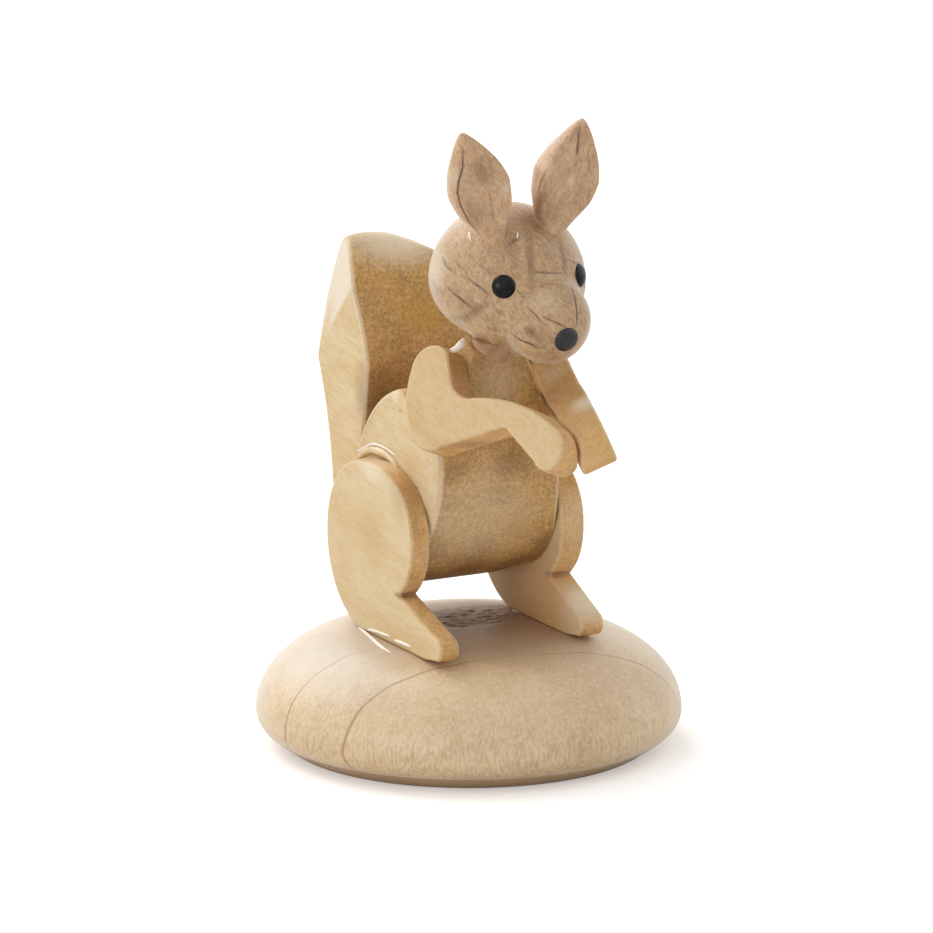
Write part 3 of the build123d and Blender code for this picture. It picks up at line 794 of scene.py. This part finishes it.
def turned_beech_base(name):
    """Beech, turned with its fibres upright: greyish beige with fine upright flecks on the side, growth rings that
    cross it as straight lines, and torn, darker end grain on its flat top. Painted on it are a grey haze on its left
    shoulder, a pale sheen where it is seen at a slant, shade along its foot and shade under the figure on its top."""
    tints = bpy.context.scene.squirrel_colours
    height = bpy.context.scene.squirrel_sizes.base_height / MM
    material, tree, shader, millimetres = new_material(name, {"Coat Roughness": 0.3, "Specular IOR Level": 0.3})
    wander = pattern(tree, millimetres, (0.12, 0.12, 0.05), 0.3, 0.7, 2.0)
    split = add_node(tree, "ShaderNodeSeparateXYZ", {0: millimetres})
    leaning = add_node(tree, "ShaderNodeMath", {"operation": "MULTIPLY_ADD", 0: split.outputs["X"], 1: 0.1,
                                                2: split.outputs["Y"]})
    across = add_node(tree, "ShaderNodeMath", {"operation": "MULTIPLY_ADD", 0: wander, 1: 0.5, 2: leaning.outputs[0]})
    # growth rings lie 7.8 mm apart, with none in front of the first or behind the last
    for operation, value in (("ADD", 10.5), ("MAXIMUM", -3.0), ("MINIMUM", 11.0), ("PINGPONG", RING_GAP / 2)):
        across = add_node(tree, "ShaderNodeMath", {"operation": operation, 0: across.outputs[0], 1: value})
    ring = add_node(tree, "ShaderNodeMapRange", {"interpolation_type": "SMOOTHSTEP", "From Min": 0.22, "From Max": 0.0,
                                                 "Value": across.outputs[0]})
    # rays show as dashes some 0.12 mm wide and 0.6 mm long, clearest on the upright side
    upright = add_node(tree, "ShaderNodeMapRange", {"From Min": 8.0, "From Max": 4.0, "To Min": 0.12, "To Max": 0.32,
                                                    "Value": split.outputs["Z"]})
    rays = pattern(tree, millimetres, (4.2, 4.2, 0.8), 0.5, 0.62, 2.0, 2.0)
    fine = pattern(tree, millimetres, (3.4, 3.4, 1.8), 0.46, 0.62, 3.0, 6.0)
    mottled = pattern(tree, millimetres, (1.1, 1.1, 0.9), 0.42, 0.62, 4.0, 1.0)
    clouds = pattern(tree, millimetres, (0.12, 0.12, 0.2), 0.4, 0.64, 2.0, 11.0)
    torn = pattern(tree, millimetres, (0.9, 2.0, 1.0), 0.52, 0.6, 3.0, 3.0)
    # painted reflection: a grey haze on the base's left shoulder
    painted_haze_left = patch(tree, millimetres, (-13.0, 0.0, 8.5), (8.0, 13.0, 5.0), 0.2)
    # darker top: rough wood, and painted shade under the figure
    middle = patch(tree, millimetres, (0, -1.5, height), (14.5, 14.5, 3.0), 0.4)
    torn_place = patch(tree, millimetres, TORN_PLACE + (height,), (6.4, 4.0, 1.0), 0.5)
    dark, open_pits = (add_node(tree, "ShaderNodeMath", {"operation": "MULTIPLY", 0: torn_place, 1: within}).outputs[0]
                       for within in (mottled, torn))
    # painted shade along the undercut foot
    foot = add_node(tree, "ShaderNodeMapRange", {"interpolation_type": "SMOOTHSTEP", "From Min": 1.45, "From Max": 1.3,
                                                 "Value": split.outputs["Z"]})
    # the wood's own tones, with a painted sheen at a slant, a painted grey haze, and painted shade on the top and foot
    layers = ((clouds, 0.25, tints.base_fleck_and_foot_shade), (mottled, 0.14, tints.base_fleck_and_foot_shade), (fine, 0.3, tints.rim),
              (rays, upright.outputs["Result"], tints.base_fleck_and_foot_shade), (ring.outputs["Result"], 0.7, tints.base_ring),
              (painted_slant_sheen(tree, 0.5, 0.9), 0.5, tints.painted_sheen), (painted_haze_left, 0.5, tints.base_painted_haze),
              (middle, 0.65, tints.base_rough_and_shade), (dark, 0.3, tints.head_fleck_and_shade), (open_pits, 0.6, tints.head_line_and_shade),
              (foot.outputs["Result"], 0.6, tints.base_fleck_and_foot_shade))
    coloured(tree, shader, layered(tree, tints.base, layers), rays, -0.02)
    for socket, waxed, rough in (("Roughness", 0.45, 0.6), ("Coat Weight", 0.25, 0.2)):
        varied = add_node(tree, "ShaderNodeMapRange", {"To Min": waxed, "To Max": rough, "Value": torn_place})
        tree.links.new(varied.outputs["Result"], shader.inputs[socket])
    return material


def black_glass(name):
    """Black glass bead: a deep gloss with sharp small lights under a little dust."""
    tints = bpy.context.scene.squirrel_colours
    material, tree, shader, millimetres = new_material(name, {"Roughness": 0.2, "Specular IOR Level": 0.2})
    dust = pattern(tree, millimetres, (2.0, 2.0, 2.0), 0.45, 0.75)
    coloured(tree, shader, layered(tree, tints.bead, [(dust, 0.2, tints.nose)]))
    return material


def black_paint(name):
    """Wooden bead dipped in black paint: satin, with a soft broad light."""
    tints = bpy.context.scene.squirrel_colours
    material, tree, shader, millimetres = new_material(name, {"Roughness": 0.42, "Specular IOR Level": 0.35})
    brushed = pattern(tree, millimetres, (3.0, 3.0, 3.0), 0.4, 0.7)
    coloured(tree, shader, layered(tree, tints.nose, [(brushed, 0.3, tints.bead)]), brushed, 0.01, 0.5)
    return material


def dried_glue(name, tint, rough=0.15, cloud=0.3):
    """Dried wood glue: a little cloudy, with a wet gloss that takes small white lights."""
    material, tree, shader, millimetres = new_material(name, {"Roughness": rough, "IOR": 1.5})
    cloudy = pattern(tree, millimetres, (0.8, 0.8, 0.8), 0.35, 0.7)
    coloured(tree, shader, layered(tree, tint, [(cloudy, cloud, bpy.context.scene.squirrel_colours.rim)]))
    return material


# ---------------------------------------------------------------------------------------------------- operators

class SQUIRREL_OT_turn_base(bpy.types.Operator):
    """Turn the base and tear the grain on its flat top"""

    bl_idname = "squirrel.turn_base"
    bl_label = "Turn the base"

    def execute(self, context):
        sizes = context.scene.squirrel_sizes
        radius = sizes.base_radius / MM
        height = sizes.base_height / MM
        lower = arc((BASE_LOWER_CENTRE, BASE_WIDEST_HEIGHT), (radius - BASE_LOWER_CENTRE, BASE_LOWER_DROP), -56, 0, 16)
        upper = arc((BASE_FLAT_RADIUS, BASE_WIDEST_HEIGHT), (radius - BASE_FLAT_RADIUS, height - BASE_WIDEST_HEIGHT),
                    0, 90, 64)
        foot = [(0.0, 0.0), (8.0, 0.0), (BASE_FOOT_RADIUS - 0.3, 0.0), (BASE_FOOT_RADIUS, 0.03),
                (BASE_FOOT_RADIUS + 0.24, 0.15), (lower[0][0] - 0.12, lower[0][1] - 0.11)]
        top = [(BASE_FLAT_RADIUS * (1 - i / 48), height) for i in range(1, 49)]
        piece = turned("turned_base", foot + lower + upper[1:] + top, 224)
        self.tear(piece, height, sizes.torn_depth / MM)
        smooth_faces(piece, 35)
        put_on(piece, turned_beech_base("beech_turned_upright"), ["base"])
        return {"FINISHED"}

    def tear(self, piece, height, depth):
        """Sinks small pits into the flat top, behind its middle."""
        points = places(piece)
        reach = np.hypot((points[:, 0] - TORN_PLACE[0]) / 6.2, (points[:, 1] - TORN_PLACE[1]) / 3.8)
        weight = np.clip(1 - reach**4, 0, 1) * (points[:, 2] > height - 0.01)
        group = piece.vertex_groups.new(name="torn")
        for index in np.nonzero(weight > 0)[0]:
            group.add([int(index)], float(weight[index]), "REPLACE")
        grain = bpy.data.textures.new("torn_grain", type="CLOUDS")
        grain.noise_scale = 0.9 * MM
        grain.noise_depth = 3
        grain.intensity = 0.75
        grain.contrast = 2.2
        apply_modifier(piece, "DISPLACE", texture=grain, texture_coords="LOCAL", strength=depth * MM, mid_level=1.0,
                       vertex_group="torn", direction="Z")


class SQUIRREL_OT_saw_body(bpy.types.Operator):
    """Round the sawn edges of body and tail"""

    bl_idname = "squirrel.saw_body"
    bl_label = "Saw body and tail"

    def execute(self, context):
        sizes = context.scene.squirrel_sizes
        colours = context.scene.squirrel_colours
        piece = sawn_copy("body_with_tail", "body_and_tail", sizes.body_wear, BODY_CUTS)
        # where the slope of the tail's tip runs out, the rounding doubles back by a hair: its points are merged
        points = places(piece)
        by_tip = ((points[:, 1] > TAIL_TIP_BACK[0]) & (points[:, 1] < TAIL_TIP_BACK[1])
                  & (points[:, 2] > TAIL_TIP_FROM))
        start_edit(piece, action="DESELECT")
        end_edit()
        piece.data.vertices.foreach_set("select", by_tip)
        bpy.ops.object.mode_set(mode="EDIT")
        bpy.ops.mesh.remove_doubles(threshold=TAIL_TIP_GAP * MM)
        end_edit()
        points = places(piece)
        across, fall = zip(*TAIL_TOP_FALL)
        high = np.clip((points[:, 2] - TAIL_TOP_FROM) / TAIL_TOP_START, 0, 1)
        points[:, 2] -= high * np.interp(points[:, 0], across, fall)
        self.pare_neck(points)
        move_to(piece, points)
        rims = np.zeros(len(points))
        piece.data.attributes["rim"].data.foreach_get("value", rims)
        by_neck = np.clip((points[:, 2] - NECK_RIM_FROM) / 2.0, 0, 1) * (points[:, 1] < NECK_RIM_BACK)
        keep_values(piece, "rim", rims * (1 - by_neck))
        patches = patches_on(piece, BODY_PATCHES)
        # painted light: the tail's top made paler where it faces up
        patches.append(TAIL_PAINTED_LIGHT + (colours.rim,))
        material = sawn_maple("maple_body_slice", (1, 0, 0), (0, -1, -0.19), 0.0, colours.planed, colours.end_grain,
                              patches, TAIL_FACET)
        put_on(piece, material, ["body_with_tail"])
        return {"FINISHED"}

    def pare_neck(self, points):
        """Pares the neck's back corners flat towards the ball, alike on both sides."""
        ends = [line_of_sight(pixel) for pixel in NECK_CUT]
        facing = np.array(ends[0].cross(ends[1]).normalized())
        facing = facing if facing @ np.array(view_axes()[2]) > 0 else -facing
        start = np.array(view_place())
        for side in (1, -1):
            flip = np.array((side, 1, 1))
            over = (points * flip - start) @ facing
            near = ((points[:, 1] < NECK_CUT_BACK) & (points[:, 2] > NECK_CUT_FROM) & (points[:, 0] * side < 0)
                    & (over > 0))
            points[near] -= (over[near, None] * facing) * flip


class SQUIRREL_OT_saw_limbs(bpy.types.Operator):
    """Round the sawn edges of the legs and arms"""

    bl_idname = "squirrel.saw_limbs"
    bl_label = "Saw the limbs"

    def execute(self, context):
        wear = context.scene.squirrel_sizes.limb_wear
        colours = context.scene.squirrel_colours
        edge = colours.limb_edge
        turn, lean = math.radians(ARM_TURN), math.radians(ARM_LEAN)
        for side, word in ((-1, "right"), (1, "left")):
            leg = sawn_copy(word + "_leg", word + "_leg_plate", wear)
            patches = patches_on(leg, LEG_PATCHES if side < 0 else FAR_LEG_PATCHES)
            material = sawn_maple("maple_%s_leg" % word, (1, 0, 0), (0, -1, 0.1 * side), 20.0 + 9 * side,
                                  colours.planed, edge, patches, streaky=0.15, wear_and_highlight=0.6)
            put_on(leg, material, [word + "_leg"])
            arm = sawn_copy(word + "_arm", word + "_arm_plate", wear)
            face = (side * math.cos(turn) * math.cos(lean), -math.sin(turn) * math.cos(lean), math.sin(lean))
            patches = patches_on(arm, ARM_PATCHES if side < 0 else FAR_ARM_PATCHES)
            material = sawn_maple("maple_%s_arm" % word, face, (-0.3 * side, -0.8, -0.55), 50.0 + 9 * side,
                                  colours.planed_arm, edge, patches, streaky=0.24, wear_and_highlight=0.5)
            put_on(arm, material, [word + "_arm"])
        return {"FINISHED"}


def head_axes():
    """Directions of the face: to its left, forwards and up."""
    heading = math.radians(HEAD_TURN)
    return (Vector((math.cos(heading), math.sin(heading), 0)), Vector((math.sin(heading), -math.cos(heading), 0)),
            Vector((0, 0, 1)))


def head_direction(turn, rise):
    """Direction from the head's centre, turned sideways from the face and raised, in degrees."""
    heading = math.radians(HEAD_TURN + turn)
    level = math.cos(math.radians(rise))
    return Vector((math.sin(heading) * level, -math.cos(heading) * level, math.sin(math.radians(rise))))


class SQUIRREL_OT_turn_head(bpy.types.Operator):
    """Turn the head with its muzzle and open its grain lines"""

    bl_idname = "squirrel.turn_head"
    bl_label = "Turn the head"

    def execute(self, context):
        sizes = context.scene.squirrel_sizes
        ball, muzzle, blend = sizes.head_radius / MM, sizes.muzzle_radius / MM, sizes.muzzle_blend / MM
        reach = math.hypot(MUZZLE_REACH, MUZZLE_DROP)
        hollow = ball + blend
        angle = math.acos((reach**2 + hollow**2 - (muzzle + blend)**2) / (2 * reach * hollow))
        centre = (hollow * math.sin(angle), hollow * math.cos(angle))
        out = math.atan2(centre[0], centre[1] - reach)
        outline = [(ball * math.sin(a), ball * math.cos(a)) for a in np.linspace(math.pi, angle, 132)]
        back_from, back_to = math.pi + angle, math.pi + out
        outline += [(centre[0] + blend * math.sin(a), centre[1] + blend * math.cos(a))
                    for a in np.linspace(back_from, back_to, 18)[1:]]
        outline += [(muzzle * math.sin(a), reach + muzzle * math.cos(a)) for a in np.linspace(out, 0, 56)[1:]]
        outline[0] = (0.0, outline[0][1])
        outline[-1] = (0.0, outline[-1][1])
        piece = turned("turned_head", outline, 340)
        left, forwards, up = head_axes()
        set_down(piece, along(forwards * MUZZLE_REACH - up * MUZZLE_DROP, HEAD_CENTRE))
        self.sand_under(piece, forwards * MUZZLE_REACH - up * MUZZLE_DROP)
        context.view_layer.update()
        draw_lines(piece, HEAD_LINES, sizes.line_depth / MM, HEAD_LINE_TURNS)
        points = places(piece)
        crease = line_weight(points, seen_line(piece, CHEEK_CREASE), CREASE_WIDTH)
        move_to(piece, points - outwards(piece) * (crease * CREASE_DEPTH)[:, None])
        smooth_faces(piece)
        fibre = (0.45, -0.25, -0.7)
        colours = context.scene.squirrel_colours
        material = turned_beech_head("beech_head_turned", fibre, colours.ball, patches=patches_on(piece, HEAD_PATCHES))
        put_on(piece, material, ["head"])
        self.draw_nib(context)
        return {"FINISHED"}

    def sand_under(self, piece, muzzle):
        """Flattens the ball where it was sanded down to sit on the neck, and leaves the muzzle round."""
        back, right, up = view_axes()
        lean = math.radians(SANDED_TURN)
        flat = np.array(right * math.cos(lean) - up * math.sin(lean))
        points = places(piece) - np.array(HEAD_CENTRE)
        ahead = points @ np.array(muzzle.normalized())
        reach = np.maximum(np.linalg.norm(points, axis=1), 0.001)
        turn = np.degrees(np.arccos(np.clip(points @ flat / reach, -1, 1)))
        amount = np.where(turn < SANDED_SPREAD, np.cos(np.radians(turn * 90 / SANDED_SPREAD)) ** 2, 0.0)
        amount *= np.clip((SANDED_AHEAD - ahead) / 3.0, 0, 1)
        move_to(piece, points * (1 - SANDED_DEPTH * amount / reach)[:, None] + np.array(HEAD_CENTRE))

    def draw_nib(self, context):
        """Small nib of brown glue under the ball, drawn to a point in front of the neck."""
        corners = [on_plane(pixel, Vector((0, NIB_PLACE, 0)), Vector((0, 1, 0.12))) for pixel in NIB_CORNERS]
        piece = drawn_line("neck_nib", corners)
        start_edit(piece)
        bpy.ops.mesh.edge_face_add()
        bpy.ops.mesh.extrude_region_move(TRANSFORM_OT_translate={"value": (0, NIB_THICK * MM, 0.3 * MM)})
        bpy.ops.mesh.select_all(action="SELECT")
        bpy.ops.mesh.normals_make_consistent(inside=False)
        bpy.ops.mesh.bevel(offset=0.3 * MM, segments=4, affect="EDGES")
        end_edit()
        smooth_faces(piece, 50)
        brown = dried_glue("wood_glue_brown", context.scene.squirrel_colours.glue_brown, 0.65, 0.15)
        put_on(piece, brown, ())


def ear_matrix(side, spacing, forward, tilt):
    """Place of an ear: its Z along the ear, its Y towards the back of the head."""
    left, forwards, up = head_axes()
    radius = bpy.context.scene.squirrel_sizes.head_radius / MM
    rise = math.sqrt(radius**2 - spacing**2 - forward**2)
    lean = math.radians(tilt)
    axis = (left * (side * math.sin(lean)) + up * math.cos(lean)).normalized()
    back = -forwards
    across = back.cross(axis).normalized()
    turn = Matrix((across, axis.cross(across), axis)).transposed().to_4x4()
    turn.translation = HEAD_CENTRE + left * (side * spacing) + forwards * forward + up * rise
    return turn


class SQUIRREL_OT_carve_ears(bpy.types.Operator):
    """Turn the ears as spindles, pare their fronts and open their grain"""

    bl_idname = "squirrel.carve_ears"
    bl_label = "Carve the ears"

    def execute(self, context):
        sizes = context.scene.squirrel_sizes
        colours = context.scene.squirrel_colours
        # each ear's seat is its side, its places beside and ahead of the ball's centre, and its tilt in degrees; the
        # last two numbers say how far its outer side is widened and how far it is drawn up
        kinds = (("right", (-1, 3.75, 3.55, 19.6), NEAR_EAR_LINES, NEAR_EAR_PATCHES, 0.0, 0.04),
                 ("left", (1, 2.62, 4.2, 16.8), FAR_EAR_LINES, FAR_EAR_PATCHES, 1.0, 0.0))
        for word, seat, lines, patches, widened, drawn_up in kinds:
            piece = turned(word + "_ear_leaf", smooth_line(EAR_OUTLINE, 6), 72)
            start_edit(piece)
            bpy.ops.mesh.bisect(plane_co=(0, -EAR_PARED_AT * MM, 3.0 * MM), plane_no=(0, -1, EAR_PARED_LEAN),
                                use_fill=True, clear_outer=True)
            end_edit()
            apply_modifier(piece, "REMESH", mode="VOXEL", voxel_size=0.11 * MM, adaptivity=0.0)
            start_edit(piece)
            bpy.ops.mesh.vertices_smooth(factor=0.5, repeat=5)
            end_edit()
            points = places(piece)
            # the pared front is dished a little
            dish = np.exp(-(points[:, 0] / 1.5) ** 2 - ((points[:, 2] - 5.0) / 3.0) ** 2)
            points[:, 1] += np.where(points[:, 1] < -0.6, 0.35 * dish, 0.0)
            spread = widened * (0.4 * np.exp(-((points[:, 2] - 4.0) / 3.6) ** 2)
                                + 0.9 * np.exp(-((points[:, 2] - 0.3) / 2.5) ** 2))
            points[:, 0] -= np.where(points[:, 0] < 0, spread, 0.0)
            points[:, 2] *= 1 + drawn_up * np.clip(points[:, 2], 0, None) / points[:, 2].max()
            move_to(piece, points)
            set_down(piece, ear_matrix(*seat))
            context.view_layer.update()
            draw_lines(piece, lines, sizes.line_depth / MM * 2)
            smooth_faces(piece)
            fibre = ear_matrix(*seat).to_3x3() @ Vector((0.06, 0, 1))
            material = turned_beech_head("beech_%s_ear_pared" % word, fibre, colours.ear, 1.0, 0.28,
                                         patches_on(piece, patches))
            put_on(piece, material, [word + "_ear"])
        return {"FINISHED"}


class SQUIRREL_OT_set_beads(bpy.types.Operator):
    """Set the eyes and the nose in their seats"""

    bl_idname = "squirrel.set_beads"
    bl_label = "Set eyes and nose"

    def execute(self, context):
        sizes = context.scene.squirrel_sizes
        glass = black_glass("glass_black_bead")
        paint = black_paint("beech_bead_black_paint")
        left, forwards, up = head_axes()
        muzzle = HEAD_CENTRE + forwards * MUZZLE_REACH - up * MUZZLE_DROP
        ball, tip = sizes.head_radius / MM, sizes.muzzle_radius / MM
        kinds = (("right_eye", HEAD_CENTRE, ball, head_direction(-EYE_TURN, EYE_RISE), sizes.eye_radius, glass),
                 ("left_eye", HEAD_CENTRE, ball, head_direction(EYE_TURN, EYE_RISE), sizes.eye_radius, glass),
                 ("nose", muzzle, tip, head_direction(NOSE_TURN, NOSE_RISE), sizes.nose_radius, paint))
        for word, centre, reach, direction, radius, material in kinds:
            piece = self.bead(word + "_bead", radius / MM)
            set_down(piece, along(direction, centre + direction * (reach - BEAD_SEAT)))
            put_on(piece, material, [word])
        return {"FINISHED"}

    def bead(self, name, radius):
        """A low bead: flat foot, straight side and a dome that rolls over softly."""
        dome = arc((0.0, 0.36), (radius, 0.56), 8, 90, 20)
        outline = [(0.0, 0.05), (radius * 0.5, 0.05), (radius, 0.05), (radius, 0.3)] + dome
        outline[-1] = (0.0, outline[-1][1])
        piece = turned(name, outline, 64)
        smooth_faces(piece, 50)
        return piece


class SQUIRREL_OT_run_glue(bpy.types.Operator):
    """Run the beads of glue at the thighs, the feet, the shoulder and the ears"""

    bl_idname = "squirrel.run_glue"
    bl_label = "Run the glue"

    def execute(self, context):
        context.view_layer.update()
        colours = context.scene.squirrel_colours
        clear = dried_glue("wood_glue_clear", colours.glue)
        white = dried_glue("wood_glue_white", colours.white_glue_and_highlight)
        golden = dried_glue("wood_glue_golden", colours.end_grain, 0.4, 0.1)
        for side, word in ((-1, "right"), (1, "left")):
            line = [(side * (BODY_HALF_WIDTH + 0.1), back, height) for back, height in THIGH_GLUE]
            put_on(self.bead(word + "_thigh_glue", line, THIGH_GLUE_THICK), clear)
        for number, (carriers, pixels, thick) in enumerate(FOOT_GLUE):
            line = self.on(carriers, pixels)
            put_on(self.bead("foot_glue_%d" % (number + 1), line, thick), white)
        joint = ("turned_head", "right_arm_plate", "left_arm_plate", "body_and_tail")
        corner = Vector(self.on(joint, SHOULDER_GLUE)[0])
        line = [on_plane(pixel, corner, view_axes()[0]) for pixel in SHOULDER_GLUE]
        put_on(self.bead("shoulder_glue", line, SHOULDER_GLUE_THICK), white)
        context.view_layer.update()
        thigh = ("right_thigh_glue", "right_leg_plate", "body_and_tail")
        ears = ("turned_head", "right_ear_leaf", "left_ear_leaf")
        # the thigh's white beads are painted highlights; the foot and ear glue is white for its highlights, painted too
        for kind, runs, carriers, glue in (("thigh_painted_highlight", THIGH_PAINTED_HIGHLIGHTS, thigh, white),
                                           ("chest", CHEST_GLUE, joint[1:], golden), ("ear", EAR_GLUE, ears, white)):
            for number, (pixels, thick) in enumerate(runs):
                put_on(self.bead("%s_glue_%d" % (kind, number + 1), self.on(carriers, pixels), thick), glue)
        return {"FINISHED"}

    def on(self, carriers, pixels):
        """Places along a line of pixels, on the nearest of the pieces that carry the glue."""
        pieces = [bpy.data.objects[name] for name in carriers]
        spots = [seen_at(pieces, pixel) for pixel in pixels]
        found = [tuple(spot) for spot in spots if spot is not None]
        if len(found) < 2:
            raise RuntimeError("a run of glue misses the pieces that carry it")
        return found

    def bead(self, name, points, thick):
        """A run of glue: a line made round, thinner at its ends and a little uneven."""
        line = smooth_line(points, 5)
        piece = drawn_line(name, line)
        select_only(piece)
        bpy.ops.object.convert(target="CURVE")
        piece = bpy.context.active_object
        piece.data.bevel_depth = thick * MM
        piece.data.bevel_resolution = 5
        piece.data.use_fill_caps = True
        spline = piece.data.splines[0]
        last = max(1, len(spline.points) - 1)
        for index, point in enumerate(spline.points):
            share = index / last
            swell = math.sin(math.pi * (0.06 + 0.88 * share)) ** 0.5
            point.radius = swell * (1 + 0.16 * math.sin(index * 1.9) + 0.1 * math.sin(index * 0.7 + 1))
        bpy.ops.object.convert(target="MESH")
        piece = bpy.context.active_object
        start_edit(piece)
        bpy.ops.mesh.remove_doubles(threshold=0.001 * MM)
        bpy.ops.mesh.vertices_smooth(factor=0.5, repeat=2)
        bpy.ops.mesh.normals_make_consistent(inside=False)
        end_edit()
        smooth_faces(piece)
        return piece


class SQUIRREL_OT_finish_dowel(bpy.types.Operator):
    """Give the hidden neck dowel its wood"""

    bl_idname = "squirrel.finish_dowel"
    bl_label = "Finish the dowel"

    def execute(self, context):
        colours = context.scene.squirrel_colours
        material = turned_beech_head("beech_dowel", (0, 0, 1), colours.dowel, 0.0, 0.3)
        node = frame["nodes"]["neck_dowel"]
        node.data.materials.clear()
        node.data.materials.append(material)
        return {"FINISHED"}


class SQUIRREL_OT_lay_stage(bpy.types.Operator):
    """Lay the floor, hang the lamps and set the camera"""

    bl_idname = "squirrel.lay_stage"
    bl_label = "Lay the stage"

    def execute(self, context):
        self.floor(context)
        self.lamps()
        self.world(context)
        self.camera(context)
        context.scene.view_settings.view_transform = "Standard"
        return {"FINISHED"}

    def floor(self, context):
        bpy.ops.object.select_all(action="DESELECT")
        bpy.ops.mesh.primitive_circle_add(vertices=96, radius=2.5, fill_type="NGON")
        floor = context.active_object
        floor.name = "floor"
        material = bpy.data.materials.new("card_floor_white")
        material.use_nodes = True
        tree = material.node_tree
        tree.nodes.clear()
        # card: matt white; what the camera sees of it is lifted a little towards the white background
        matt = add_node(tree, "ShaderNodeBsdfDiffuse", {"Color": context.scene.squirrel_colours.floor})
        path = add_node(tree, "ShaderNodeLightPath")
        lift = add_node(tree, "ShaderNodeMath", {"operation": "MULTIPLY", 0: path.outputs["Is Camera Ray"], 1: 0.34})
        glow = add_node(tree, "ShaderNodeEmission", {"Color": (1, 1, 1, 1), "Strength": lift.outputs[0]})
        both = add_node(tree, "ShaderNodeAddShader", {0: matt.outputs[0], 1: glow.outputs[0]})
        add_node(tree, "ShaderNodeOutputMaterial", {"Surface": both.outputs[0]})
        floor.data.materials.append(material)

    def lamps(self):
        # name, place and width in metres, and power in watts
        kinds = (("left_softbox", (-0.55, -0.25, 0.45), 1.2, 1.92), ("right_softbox", (0.60, -0.15, 0.40), 1.0, 2.05),
                 ("back_softbox", (-0.15, 0.60, 0.60), 0.8, 5.8), ("eye_light", (-0.63, -0.29, 0.15), 0.2, 0.6))
        for name, place, size, power in kinds:
            bpy.ops.object.select_all(action="DESELECT")
            bpy.ops.object.light_add(type="AREA", location=place)
            lamp = bpy.context.active_object
            lamp.name = name
            lamp.data.size = size
            lamp.data.energy = power
            lamp.rotation_euler = (LAMP_AIM - Vector(place)).to_track_quat("-Z", "Y").to_euler()

    def world(self, context):
        world = bpy.data.worlds.new("white_tent")
        context.scene.world = world
        world.use_nodes = True
        tree = world.node_tree
        tree.nodes.clear()
        # white for the camera, in gloss and through glass, and dimmer where it lights the object
        path = add_node(tree, "ShaderNodeLightPath")
        seen = path.outputs["Is Camera Ray"]
        for ray in ("Is Glossy Ray", "Is Transmission Ray"):
            seen = add_node(tree, "ShaderNodeMath", {"operation": "MAXIMUM", 0: seen, 1: path.outputs[ray]}).outputs[0]
        strength = add_node(tree, "ShaderNodeMapRange", {"To Min": 0.42, "To Max": 1.0, "Value": seen})
        sky = add_node(tree, "ShaderNodeBackground", {"Color": (1, 1, 1, 1), "Strength": strength.outputs["Result"]})
        add_node(tree, "ShaderNodeOutputWorld", {"Surface": sky.outputs[0]})

    def camera(self, context):
        back, right, up = view_axes()
        bpy.ops.object.select_all(action="DESELECT")
        bpy.ops.object.camera_add(location=view_place() * MM)
        camera = context.active_object
        camera.name = "photo_camera"
        camera.rotation_mode = "QUATERNION"
        camera.rotation_quaternion = (-back).to_track_quat("-Z", "Y")
        camera.data.sensor_width = 36.0
        camera.data.lens = VIEW_SCALE * VIEW_DISTANCE / PHOTO_SIDE * camera.data.sensor_width
        camera.data.clip_start = 0.05
        camera.data.clip_end = 20.0
        context.scene.camera = camera


class SQUIRREL_PT_panel(bpy.types.Panel):
    """Sizes, colours and steps of the squirrel"""

    bl_idname = "SQUIRREL_PT_panel"
    bl_label = "Wooden squirrel"
    bl_space_type = "VIEW_3D"
    bl_region_type = "UI"
    bl_category = "Squirrel"

    def draw(self, context):
        for group in (context.scene.squirrel_sizes, context.scene.squirrel_colours):
            box = self.layout.box()
            for key in group.__annotations__:
                box.prop(group, key)
        for operator in OPERATORS:
            self.layout.operator(operator.bl_idname)


OPERATORS = (SQUIRREL_OT_turn_base, SQUIRREL_OT_saw_body, SQUIRREL_OT_saw_limbs, SQUIRREL_OT_turn_head,
             SQUIRREL_OT_carve_ears, SQUIRREL_OT_set_beads, SQUIRREL_OT_run_glue, SQUIRREL_OT_finish_dowel,
             SQUIRREL_OT_lay_stage)
CLASSES = (SquirrelSizes, SquirrelColours) + OPERATORS + (SQUIRREL_PT_panel,)


def register():
    for kind in CLASSES:
        bpy.utils.register_class(kind)
    bpy.types.Scene.squirrel_sizes = bpy.props.PointerProperty(type=SquirrelSizes)
    bpy.types.Scene.squirrel_colours = bpy.props.PointerProperty(type=SquirrelColours)


def unregister():
    del bpy.types.Scene.squirrel_colours
    del bpy.types.Scene.squirrel_sizes
    for kind in reversed(CLASSES):
        bpy.utils.unregister_class(kind)


def main():
    register()
    bpy.ops.squirrel.turn_base()
    bpy.ops.squirrel.saw_body()
    bpy.ops.squirrel.saw_limbs()
    bpy.ops.squirrel.turn_head()
    bpy.ops.squirrel.carve_ears()
    bpy.ops.squirrel.set_beads()
    bpy.ops.squirrel.run_glue()
    bpy.ops.squirrel.finish_dowel()
    bpy.ops.squirrel.lay_stage()


if __name__ == "__main__":
    main()
